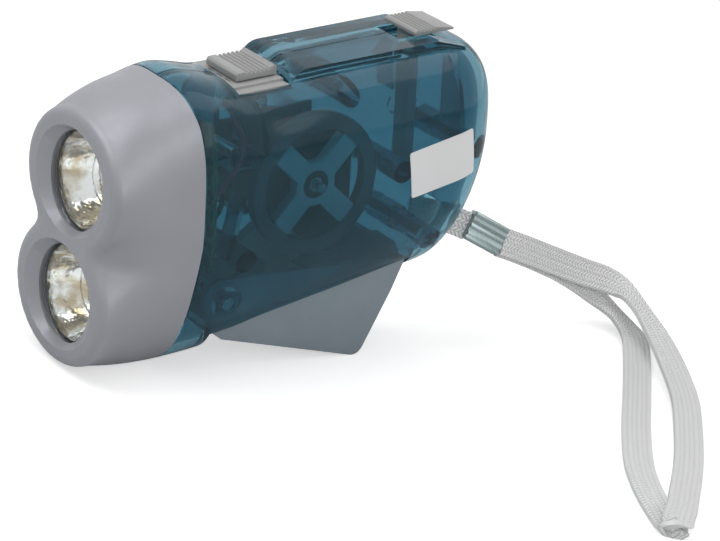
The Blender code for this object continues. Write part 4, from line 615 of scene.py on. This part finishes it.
def body_surface(start, stop, steps, ease=1.0):
    """The body's outer surface between two distances behind the mouths, as a closed fine loft."""
    form = bmesh.new()
    for k in range(steps + 1):
        share = 1 - (1 - k / steps) ** ease
        ring = bmesh.ops.create_circle(form, cap_ends=False, radius=1, segments=SECTION_POINTS)["verts"]
        for vertex, place in zip(ring, section(start + (stop - start) * share)):
            vertex.co = place
    bmesh.ops.bridge_loops(form, edges=form.edges[:])
    bmesh.ops.holes_fill(form, edges=[e for e in form.edges if e.is_boundary])
    bmesh.ops.recalc_face_normals(form, faces=form.faces)
    return form


class Surface:
    """A smooth surface that points can be set on, with its normal anywhere."""

    def __init__(self, form):
        form.normal_update()
        self.corners = [[v.co.copy() for v in f.verts] for f in form.faces]
        self.normals = [[v.normal.copy() for v in f.verts] for f in form.faces]
        self.tree = BVHTree.FromBMesh(form)
        form.free()

    def nearest(self, point):
        place, flat, index, _ = self.tree.find_nearest(point)
        if len(self.corners[index]) > 4:
            return place, flat
        weights = poly_3d_calc(self.corners[index], place)
        normal = Vector((0, 0, 0))
        for weight, each in zip(weights, self.normals[index]):
            normal += each * weight
        return place, normal.normalized()


# A shell's outer skin: how far its corners may stray from the true surface, how deep and how proud the
# middles of its faces may lie, how squarely they have to face out, the longest edge left in it if so many
# rounds of halving are enough, and the angle over which its edges stay crisp
SKIN_STRAY = 0.0004
SKIN_SUNK = 0.0009
SKIN_PROUD = 0.00008
SKIN_SQUARE = 0.8
SKIN_EDGE = 0.0014
SKIN_ROUNDS = 3
SKIN_CRISP = 32


def on_surface(node, surface, look, name):
    """A merged copy of a moulded shell whose outer skin is made finer and set on the true surface."""
    form = merged(node)
    bmesh.ops.triangulate(form, faces=form.faces)
    kind = form.faces.layers.int.new("skin")
    for face in form.faces:
        centre = face.calc_center_median()
        place, normal = surface.nearest(centre)
        depth = (centre - place).dot(normal)
        steady = all((v.co - surface.nearest(v.co)[0]).length < SKIN_STRAY for v in face.verts)
        near = -SKIN_SUNK < depth < SKIN_PROUD and steady
        face[kind] = near and face.normal.dot(normal) > SKIN_SQUARE
    for _ in range(SKIN_ROUNDS):
        skin_edges = [e for e in form.edges if any(f[kind] for f in e.link_faces)]
        long = [e for e in skin_edges if e.calc_length() > SKIN_EDGE]
        if not long:
            break
        bmesh.ops.subdivide_edges(form, edges=long, cuts=1)
        bmesh.ops.triangulate(form, faces=[f for f in form.faces if len(f.verts) > 3])
        for vertex in {v for f in form.faces if f[kind] for v in f.verts}:
            vertex.co = surface.nearest(vertex.co)[0]
    form.normal_update()
    skin = [bool(f[kind]) for f in form.faces]
    mesh = show(name, form, look, [node], smooth=SKIN_CRISP).data
    normals = [Vector(corner.vector) for corner in mesh.corner_normals]
    known = {}
    for face, is_skin in zip(mesh.polygons, skin):
        if not is_skin:
            continue
        for corner in face.loop_indices:
            vertex = mesh.loops[corner].vertex_index
            if vertex not in known:
                known[vertex] = surface.nearest(mesh.vertices[vertex].co)[1]
            normals[corner] = known[vertex]
    mesh.normals_split_custom_set([tuple(n) for n in normals])


# Strap

STRAP_WIDTH = 0.0065
STRAP_THICKNESS = 0.0010
STRAP_STEP = 0.0005
ROUTE_PARTS = 24
CROSSWISE_FACES = 12
YARN_LENGTH = 0.0011
YARN_HEIGHT = 0.00008

# The ribbon's middle line out of the crimp, down its left run, round the end and back up the right run
# into the crimp: a place in metres, then the way the ribbon's face looks there.
RIBBON_ROUTE = (
    ((-0.0640, 0.0068, 0.0236), (0.50, 0.80, 0.33)),
    ((-0.0700, 0.0066, 0.0216), (0.48, 0.82, 0.33)),
    ((-0.0780, 0.0058, 0.0186), (0.44, 0.84, 0.33)),
    ((-0.0863, 0.0052, 0.0152), (0.38, 0.84, 0.38)),
    ((-0.0930, 0.0050, 0.0119), (0.25, 0.82, 0.50)),
    ((-0.0985, 0.0053, 0.0086), (0.05, 0.75, 0.66)),
    ((-0.1026, 0.0076, 0.0054), (-0.15, 0.50, 0.85)),
    ((-0.1046, 0.0125, 0.0028), (-0.15, 0.20, 0.97)),
    ((-0.1028, 0.0195, 0.0013), (-0.03, 0.05, 1.0)),
    ((-0.0934, 0.0310, 0.0007), (0, 0, 1)),
    ((-0.0791, 0.0468, 0.0007), (0, 0, 1)),
    ((-0.0655, 0.0616, 0.0007), (0, 0, 1)),
    ((-0.0537, 0.0755, 0.0007), (0, 0, 1)),
    ((-0.0480, 0.0838, 0.0007), (0, 0, 1)),
    ((-0.0440, 0.0907, 0.0007), (0, 0, 1)),
    ((-0.0408, 0.0972, 0.0007), (0, 0, 1)),
    ((-0.0388, 0.1015, 0.0009), (0.10, 0.16, 1)),
    ((-0.0372, 0.1043, 0.0016), (0.45, 0.80, 0.05)),
    ((-0.0381, 0.1040, 0.0028), (0.10, 0.30, -1)),
    ((-0.0412, 0.1012, 0.0028), (0, 0, -1)),
    ((-0.0460, 0.0972, 0.0020), (0, 0, -1)),
    ((-0.0535, 0.0903, 0.0010), (0, 0, -1)),
    ((-0.0658, 0.0786, 0.0007), (0, 0, -1)),
    ((-0.0781, 0.0654, 0.0008), (0, 0, -1)),
    ((-0.0887, 0.0526, 0.0018), (0.05, 0.10, -1)),
    ((-0.0974, 0.0383, 0.0034), (0.12, 0.22, -1)),
    ((-0.1045, 0.0240, 0.0052), (0.20, 0.10, -1)),
    ((-0.1071, 0.0150, 0.0072), (0.15, -0.42, -0.88)),
    ((-0.1062, 0.0088, 0.0098), (0.02, -0.68, -0.72)),
    ((-0.1012, 0.0068, 0.0120), (-0.20, -0.80, -0.55)),
    ((-0.0940, 0.0066, 0.0142), (-0.35, -0.83, -0.42)),
    ((-0.0863, 0.0068, 0.0168), (-0.42, -0.84, -0.34)),
    ((-0.0780, 0.0073, 0.0197), (-0.46, -0.83, -0.33)),
    ((-0.0700, 0.0080, 0.0225), (-0.48, -0.82, -0.33)),
    ((-0.0640, 0.0081, 0.0244), (-0.50, -0.80, -0.33)),
)
STUB_ROUTE = (
    ((-0.0405, 0.0000, 0.0305), (0.40, 0.85, 0.33)),
    ((-0.0440, 0.0004, 0.0300), (0.42, 0.85, 0.33)),
    ((-0.0475, 0.0008, 0.0293), (0.45, 0.84, 0.33)),
    ((-0.0515, 0.0022, 0.0284), (0.48, 0.83, 0.33)),
    ((-0.0555, 0.0042, 0.0272), (0.50, 0.82, 0.33)),
)


def smooth_line(points, step):
    """A smooth line through given points, resampled evenly: places with facings, and its length."""
    places = [Vector(p) for p, _ in points]
    faces = [Vector(n).normalized() for _, n in points]
    last = len(points) - 1
    line = []
    for k in range(last):
        near = (max(0, k - 1), k, k + 1, min(last, k + 2))
        for j in range(ROUTE_PARTS):
            t = j / ROUTE_PARTS
            pair = []
            for a, b, c, d in ([places[i] for i in near], [faces[i] for i in near]):
                lead = (c - a) / 2
                trail = (d - b) / 2
                pair.append(
                    b * (2 * t**3 - 3 * t**2 + 1)
                    + lead * (t**3 - 2 * t**2 + t)
                    + c * (3 * t**2 - 2 * t**3)
                    + trail * (t**3 - t**2)
                )
            line.append(tuple(pair))
    line.append((places[-1], faces[-1]))
    lengths = [0.0]
    for (a, _), (b, _) in zip(line, line[1:]):
        lengths.append(lengths[-1] + (b - a).length)
    count = round(lengths[-1] / step)
    even, at = [], 0
    for k in range(count + 1):
        goal = lengths[-1] * k / count
        while at < len(lengths) - 2 and lengths[at + 1] < goal:
            at += 1
        share = (goal - lengths[at]) / max(1e-12, lengths[at + 1] - lengths[at])
        place = line[at][0].lerp(line[at + 1][0], share)
        even.append((place, line[at][1].lerp(line[at + 1][1], share).normalized()))
    return even, lengths[-1]


def ribbon(name, route, replaces, look):
    """A flat woven ribbon along a route, with a UV map that counts its yarns, its path and its length."""
    even, length = smooth_line(route, STRAP_STEP)
    last = len(even) - 1
    form = bmesh.new()
    grid = bmesh.ops.create_grid(form, x_segments=CROSSWISE_FACES, y_segments=last, size=0.5)["verts"]
    uv = form.loops.layers.uv.new("braid")
    spots = {v: (v.co.x + 0.5, v.co.y + 0.5) for v in grid}
    for face in form.faces:
        for corner in face.loops:
            across, along = spots[corner.vert]
            corner[uv].uv = (across, along * length / YARN_LENGTH)
    for vertex in grid:
        across, along = spots[vertex]
        k = min(last, round(along * last))
        place, face = even[k]
        ahead = even[min(last, k + 1)][0] - even[max(0, k - 1)][0]
        wide = ahead.cross(face).normalized()
        out = wide.cross(ahead).normalized()
        side = (across - 0.5) * STRAP_WIDTH
        pillow = YARN_HEIGHT * abs(sin(across * BRAID_ROWS * pi))
        vertex.co = place + wide * side + out * pillow
    made = link(name, mesh_of(name, form, NEVER_CRISP))
    thick = made.modifiers.new("ribbon_thickness", "SOLIDIFY")
    thick.thickness = STRAP_THICKNESS
    thick.offset = 0
    thick.use_even_offset = False
    made.data.materials.append(look)
    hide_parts(*replaces)
    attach(made, "torch")
    return made, [place for place, _ in even], length


# The clip's ends and facing, its length, width and depth, and for each row across it how deep its face is
# pressed in there, or how many times as far out both faces are rolled
CLIP_NEAR = Vector((-0.0547, 0.0040, 0.0282))
CLIP_FAR = Vector((-0.0650, 0.0072, 0.0236))
CLIP_FACING = Vector((0.50, 0.80, 0.33))
CLIP_LIFT = 0.0004
CLIP_SIZE = (0.0100, 0.0070, 0.0030)
CLIP_ROWS = 10
CLIP_EDGE = 0.00035
PRESSED_IN = {3: 0.00035, 7: 0.0003}
ROLLED_OUT = {9: 1.22, 10: 0.9}


def crimp_clip(look):
    """A folded steel clip round both ends of the strap, with a rolled edge and a pressed seam."""
    ahead = (CLIP_FAR - CLIP_NEAR).normalized()
    wide = ahead.cross(CLIP_FACING.normalized()).normalized()
    out = wide.cross(ahead).normalized()
    turn = Matrix((ahead, wide, out)).transposed().to_4x4()
    turn.translation = (CLIP_NEAR + CLIP_FAR) / 2 + out * CLIP_LIFT
    form = bmesh.new()
    bmesh.ops.create_cube(form, size=1, matrix=Matrix.Diagonal((*CLIP_SIZE, 1)))
    crosswise = [e for e in form.edges if abs((e.verts[0].co - e.verts[1].co).y) > CLIP_SIZE[1] / 2]
    bmesh.ops.subdivide_edges(form, edges=crosswise, cuts=CLIP_ROWS - 1)
    rows = sorted({round(v.co.y, 6) for v in form.verts})
    for vertex in form.verts:
        row = rows.index(round(vertex.co.y, 6))
        if vertex.co.z > 0:
            vertex.co.z -= PRESSED_IN.get(row, 0.0)
        vertex.co.z *= ROLLED_OUT.get(row, 1.0)
    round_over(form, sharp_edges(form, FOLD_ANGLE), CLIP_EDGE)
    bmesh.ops.transform(form, matrix=turn, verts=form.verts)
    return show("strap_crimp_clip", form, look, ["strap_crimp"], smooth=50)


def wrist_strap(braid, steel):
    """The loop out of the clip and back, with the clip and the stub that goes on into the torch."""
    clip = crimp_clip(steel)
    loop, path, length = ribbon("wrist_strap_ribbon", RIBBON_ROUTE, ["wrist_strap"], braid)
    stub = ribbon("strap_stub_ribbon", STUB_ROUTE, ["strap_stub"], braid)[0]


# Lamps: depths behind the mouth, and radii

LENS_FRONT = 0.0025
LENS_CROWN = 0.0004
LENS_EDGE = 0.0006
LENS_BACK = 0.0037
LENS_RADIUS = 0.0111
LENS_ROUND_SHARE = 0.97
LENS_STEPS = 10
BOWL_MOUTH = 0.0040
BOWL_DEPTH = 0.0090
BOWL_WALL = 0.0008
BOWL_HOLE = 0.0027
BOWL_STEPS = 30
RIDGE_RADIUS = 0.0066
RIDGE_HALF_WIDTH = 0.0007
RIDGE_HEIGHT = 0.0009
DIODE_TIP = 0.0090
DIODE_BASE = 0.0160
DIODE_RADIUS = 0.0024
DIODE_STEPS = 12
DIODE_FLANGE_HEIGHT = 0.0008
DIODE_FLANGE_RADIUS = DIODE_RADIUS + 0.0005
CHIP_CUP = (
    (0.0126, 0.0),
    (0.0126, 0.0005),
    (0.0120, 0.0010),
    (0.0121, 0.0013),
    (0.0150, 0.0013),
    (0.0150, 0.0),
)


def spun(profile, place, steps=96):
    """Turns a profile of (depth behind the mouth, radius) pairs round a lamp's axis."""
    form = bmesh.new()
    points = [form.verts.new((-depth, radius, 0)) for depth, radius in profile]
    edges = [form.edges.new(pair) for pair in zip(points, points[1:])]
    bmesh.ops.spin(
        form,
        geom=points + edges,
        cent=(0, 0, 0),
        axis=(1, 0, 0),
        angle=2 * pi,
        steps=steps,
        use_merge=True,
    )
    bmesh.ops.remove_doubles(form, verts=form.verts, dist=SMALLEST_EDGE)
    bmesh.ops.recalc_face_normals(form, faces=form.faces)
    bmesh.ops.transform(form, matrix=place, verts=form.verts)
    return form


def lens_profile():
    """A faintly domed disc."""
    domed = LENS_RADIUS * LENS_ROUND_SHARE
    dome = [
        (LENS_FRONT + LENS_CROWN * (k / LENS_STEPS) ** 2, domed * k / LENS_STEPS)
        for k in range(LENS_STEPS + 1)
    ]
    return dome + [(LENS_FRONT + LENS_EDGE, LENS_RADIUS), (LENS_BACK, LENS_RADIUS), (LENS_BACK, 0.0)]


def bowl_profile():
    """A parabola with a raised ring in it and a hole for the diode."""
    inner = LENS_RADIUS - BOWL_WALL
    inside, outside = [], []
    for k in range(BOWL_STEPS + 1):
        radius = inner + (BOWL_HOLE - inner) * k / BOWL_STEPS
        depth = BOWL_DEPTH * (1 - ((radius - BOWL_HOLE) / (inner - BOWL_HOLE)) ** 2)
        depth -= RIDGE_HEIGHT * max(0.0, 1 - abs(radius - RIDGE_RADIUS) / RIDGE_HALF_WIDTH)
        inside.append((BOWL_MOUTH + min(depth, BOWL_DEPTH - BOWL_WALL / 2), radius))
        outside.append((BOWL_MOUTH + min(depth + BOWL_WALL, BOWL_DEPTH), radius + BOWL_WALL))
    return inside + outside[::-1] + [inside[0]]


def diode_profile():
    """A round tip on a straight body, with a flange at the board."""
    angles = np.linspace(0, pi / 2, DIODE_STEPS + 1)
    dome = [(DIODE_TIP + DIODE_RADIUS * (1 - cos(a)), DIODE_RADIUS * sin(a)) for a in angles]
    flange = DIODE_BASE - DIODE_FLANGE_HEIGHT
    return dome + [
        (flange, DIODE_RADIUS),
        (flange, DIODE_FLANGE_RADIUS),
        (DIODE_BASE, DIODE_FLANGE_RADIUS),
        (DIODE_BASE, 0.0),
    ]


def lamp(word, drop, looks):
    """A lens, a bowl and a diode with its chip, on an axis some way below the upper lamp's."""
    place = LAMPS @ Matrix.Translation((0, 0, -drop))
    disc = spun(lens_profile(), place)
    show(word + "_lens_disc", disc, looks["clear"], [word + "_lens"], smooth=25)
    bowl = spun(bowl_profile(), place)
    node = word + "_reflector"
    show(node + "_bowl", bowl, looks["chrome"], [node], smooth=40)
    dome = spun(diode_profile(), place, steps=64)
    show(word + "_diode_dome", dome, looks["resin"], [word + "_led"], smooth=40)
    name = word + "_diode_chip"
    chip = link(name, mesh_of(name, spun(CHIP_CUP, place, steps=48), smooth=40))
    chip.data.materials.append(looks["phosphor"])
    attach(chip, "torch")


# Screws, label and works; a cross recess is two bars, by length, depth and height

SCREW_ROUNDING = 0.0004
CROSS_BARS = ((0.00055, 0.0018, 0.0026), (0.0026, 0.0018, 0.00055))
LABEL_FACES = (36, 24)
LABEL_LENGTH = 0.0176
LABEL_HEIGHT = 0.0112
LABEL_CORNER = 0.0006
LABEL_THICKNESS = 0.00014
LABEL_LIFT = 0.00006
LABEL_TURN = -8
LABEL_CENTRE = Vector((-0.0828, -0.0061))
CLEAR_OF_THE_WALL = 0.030

# The pieces that follow their CAD solid: thumb pieces and lever, then the works inside, each with its
# finish and how wide its edges are eased
EASED_PIECES = (
    ("switch_plate", "warm_grey", 0.0001),
    ("switch_button", "warm_grey", 0.00012),
    ("lock_slider", "warm_grey", 0.00012),
    ("lever", "lever", 0.0004),
    ("flywheel", "flywheel", 0.00025),
    ("lever_sector_gear", "nylon", 0.0),
    ("first_pinion", "nylon", 0.0),
    ("first_gear", "nylon", 0.0),
    ("second_pinion", "nylon", 0.0),
    ("second_gear", "nylon", 0.0),
    ("rotor_pinion", "brass", 0.0),
    ("rotor_shaft", "steel", 0.0),
    ("rotor_magnet", "ferrite", 0.0002),
    ("stator_core", "core", 0.0001),
    ("coil_bobbin", "nylon", 0.0001),
    ("coil_winding", "copper", 0.0004),
    ("left_frame_plate", "frame", 0.0001),
    ("right_frame_plate", "frame", 0.0001),
    ("front_frame_spacer", "steel", 0.0001),
    ("rear_frame_spacer", "steel", 0.0001),
    ("first_gear_axle", "steel", 0.0001),
    ("second_gear_axle", "steel", 0.0001),
    ("lever_pivot_pin", "steel", 0.0002),
    ("lever_return_spring", "spring", 0.0),
    ("led_board", "board", 0.0001),
    ("circuit_board", "board", 0.0001),
    ("bridge_rectifier", "black", 0.0003),
    ("smoothing_capacitor", "sleeve", 0.0003),
    ("rechargeable_cell", "cell", 0.0003),
    ("cell_contact", "brass", 0.00005),
    ("red_wire", "red", 0.0),
    ("black_wire", "black_wire", 0.0),
    ("slide_switch_body", "steel", 0.0001),
    ("slide_switch_actuator", "black", 0.0001),
)


def screw_head(node, look):
    """A pan head with a cross recess over the CAD screw's shank."""
    form = with_whole_faces(node)
    face = min(form.faces, key=lambda f: f.calc_center_median().y)
    centre = face.calc_center_median()
    round_over(form, face.edges[:], SCREW_ROUNDING)
    blank = link(node + "_blank", mesh_of(node + "_blank", form))
    tools = []
    for size in CROSS_BARS:
        slot = bmesh.new()
        bar = Matrix.Translation(centre) @ Matrix.Diagonal((*size, 1))
        bmesh.ops.create_cube(slot, size=1, matrix=bar)
        tools.append(link(node + "_recess", mesh_of(node + "_recess", slot)))
        cut = blank.modifiers.new("recess", "BOOLEAN")
        cut.operation = "DIFFERENCE"
        cut.solver = "EXACT"
        cut.object = tools[-1]
    graph = bpy.context.evaluated_depsgraph_get()
    mesh = bpy.data.meshes.new_from_object(blank.evaluated_get(graph))
    form = bmesh.new()
    form.from_mesh(mesh)
    for each in (blank, *tools):
        bpy.data.objects.remove(each)
    show(node + "_cross_head", form, look, [node])


def side_label(surface, look):
    """A sheet of label stock with rounded corners, laid on the left wall."""
    form = bmesh.new()
    bmesh.ops.create_grid(form, x_segments=LABEL_FACES[0], y_segments=LABEL_FACES[1], size=0.5)
    turn = Matrix.Rotation(radians(LABEL_TURN), 2)
    for vertex in form.verts:
        across, up = vertex.co.x * LABEL_LENGTH, vertex.co.y * LABEL_HEIGHT
        in_x = abs(across) - (LABEL_LENGTH / 2 - LABEL_CORNER)
        in_z = abs(up) - (LABEL_HEIGHT / 2 - LABEL_CORNER)
        far = hypot(in_x, in_z)
        if in_x > 0 and in_z > 0 and far > LABEL_CORNER:
            across -= (in_x - in_x * LABEL_CORNER / far) * (1 if across > 0 else -1)
            up -= (in_z - in_z * LABEL_CORNER / far) * (1 if up > 0 else -1)
        x, z = turn @ Vector((across, up)) + LABEL_CENTRE
        start = TORCH @ Vector((x, CLEAR_OF_THE_WALL, z))
        place, normal = surface.tree.ray_cast(start, Vector((0, -1, 0)))[:2]
        vertex.co = place + normal * LABEL_LIFT
    form.normal_update()
    if sum(face.normal.y for face in form.faces) < 0:
        bmesh.ops.reverse_faces(form, faces=form.faces)
    made = show("side_label_sheet", form, look, ["side_label"], smooth=60)
    thick = made.modifiers.new("paper_thickness", "SOLIDIFY")
    thick.thickness = LABEL_THICKNESS
    thick.offset = 1


# Light and floor: each light's place, what it is aimed at, its size and its watts

LIGHTS = (
    ("window_left", (0.35, -0.15, 0.55), (-0.01, 0, 0.02), (0.5, 0.5), 1.9),
    ("window_side", (-0.10, 0.65, 0.35), (-0.01, 0, 0.02), (0.5, 0.4), 1.1),
    ("lamp_above", (-0.20, 0.05, 0.60), (-0.03, 0, 0.02), (0.4, 0.4), 0.9),
)
ROOM_LIGHT = 0.30
FLOOR_LIFT = 0.55
FLOOR_SIZE = 3


def soft_light(name, place, aim, size, watts):
    light = bpy.data.lights.new(name, "AREA")
    light.shape = "RECTANGLE"
    light.size, light.size_y = size
    light.energy = watts
    made = bpy.data.objects.new(name, light)
    bpy.context.scene.collection.objects.link(made)
    made.location = place
    made.rotation_euler = (Vector(aim) - Vector(place)).to_track_quat("-Z", "Y").to_euler()


def any_ray(tree, *kinds):
    """One for a ray of any of the kinds, and nought for others."""
    path = tree.nodes.new("ShaderNodeLightPath")
    found = path.outputs[kinds[0]]
    for kind in kinds[1:]:
        either = tree.nodes.new("ShaderNodeMath")
        either.operation = "MAXIMUM"
        tree.links.new(found, either.inputs[0])
        tree.links.new(path.outputs[kind], either.inputs[1])
        found = either.outputs[0]
    return found


def white_where_seen(tree, plain, output):
    """Mixes in plain white for what the camera, gloss and clear plastic see."""
    seen = any_ray(tree, "Is Camera Ray", "Is Glossy Ray", "Is Transmission Ray")
    mix = tree.nodes.new("ShaderNodeMixShader")
    white = tree.nodes.new("ShaderNodeBackground")
    white.inputs["Color"].default_value = WHITE
    tree.links.new(seen, mix.inputs[0])
    tree.links.new(plain, mix.inputs[1])
    tree.links.new(white.outputs[0], mix.inputs[2])
    tree.links.new(mix.outputs[0], output)


def studio():
    world = bpy.data.worlds.new("studio")
    bpy.context.scene.world = world
    world.use_nodes = True
    tree = world.node_tree
    dim = tree.nodes["Background"]
    dim.inputs["Color"].default_value = WHITE
    dim.inputs["Strength"].default_value = ROOM_LIGHT
    white_where_seen(tree, dim.outputs[0], tree.nodes["World Output"].inputs["Surface"])
    for light in LIGHTS:
        soft_light(*light)


def floor():
    """A pale sheet, lifted to white where it is seen, that still takes the object's shadow."""
    form = bmesh.new()
    bmesh.ops.create_grid(form, x_segments=1, y_segments=1, size=FLOOR_SIZE)
    made = link("floor", mesh_of("floor", form))
    look = finish("white_floor", FLOOR_WHITE, roughness=0.9)
    shader = shader_of(look)
    shader.inputs["Specular IOR Level"].default_value = 0.0
    shader.inputs["Emission Color"].default_value = WHITE
    lift = node_in(look, "ShaderNodeMath", operation="MULTIPLY")
    lift.inputs[1].default_value = FLOOR_LIFT
    wire(look, any_ray(look.node_tree, "Is Camera Ray", "Is Transmission Ray"), lift.inputs[0])
    wire(look, lift.outputs[0], shader.inputs["Emission Strength"])
    made.data.materials.append(look)


def looks_for_all():
    """Every finish, by the name that the pieces ask for."""
    return {
        "silver": silver_finish(),
        "teal": teal_finish(),
        "warm_grey": moulded("warm_grey_moulding", WARM_GREY, 0.5),
        "lever": moulded("cool_grey_moulding", LEVER_GREY, 0.5),
        "chrome": chrome_finish(),
        "clear": clear_finish(),
        "resin": resin_finish(),
        "phosphor": moulded("diode_phosphor", PHOSPHOR_YELLOW, 0.6, fine=9000, strength=0.3, tone=0.08),
        "board": board_finish(),
        "black": moulded("black_moulding", BLACK, 0.42),
        "steel": metal("bright_steel", BRIGHT_STEEL, 0.26),
        "crimp": metal("plated_steel", PLATED_STEEL, 0.36, stretch=(6, 1, 1), scale=1200),
        "frame": metal("blackened_steel", BLACKENED_STEEL, 0.45, stretch=(1, 1, 1), scale=2600),
        "spring": metal("spring_wire", SPRING_STEEL, 0.3),
        "core": core_finish(),
        "brass": metal("brass", BRASS, 0.3),
        "copper": winding_finish(),
        "nylon": nylon_finish(),
        "flywheel": flywheel_finish(),
        "ferrite": moulded(
            "sintered_ferrite", FERRITE, 0.6, fine=2500, depth=0.00005, strength=0.5, tone=0.2
        ),
        "red": insulation("red_insulation", WIRE_RED),
        "black_wire": insulation("black_insulation", WIRE_BLACK),
        "sleeve": insulation("capacitor_sleeve", SLEEVE_BLUE),
        "cell": metal("cell_can", CELL_STEEL, 0.35),
        "paper": moulded(
            "label_paper", LABEL_WHITE, 0.5, fine=3800, depth=0.000015, strength=0.35, tone=0.015
        ),
        "braid": braid_finish(),
    }


def build():
    photo_camera()
    looks = looks_for_all()
    wrist_strap(looks["braid"], looks["crimp"])
    housing = Surface(body_surface(start=0.006, stop=BODY_LENGTH, steps=150, ease=1.6))
    head = Surface(body_surface(start=0.0, stop=0.026, steps=70))
    on_surface("left_housing", housing, looks["teal"], "left_housing_shell")
    on_surface("right_housing", housing, looks["teal"], "right_housing_shell")
    on_surface("head_bezel", head, looks["silver"], "head_bezel_shell")
    for word, drop in (("upper", 0.0), ("lower", LAMP_SPACING)):
        lamp(word, drop, looks)
    for node, look, width in EASED_PIECES:
        eased(node, looks[look], width)
    for k in range(1, 6):
        screw_head(f"housing_screw_{k}", looks["steel"])
    side_label(housing, looks["paper"])
    floor()
    studio()


build()
bpy.context.scene.view_settings.view_transform = "Standard"
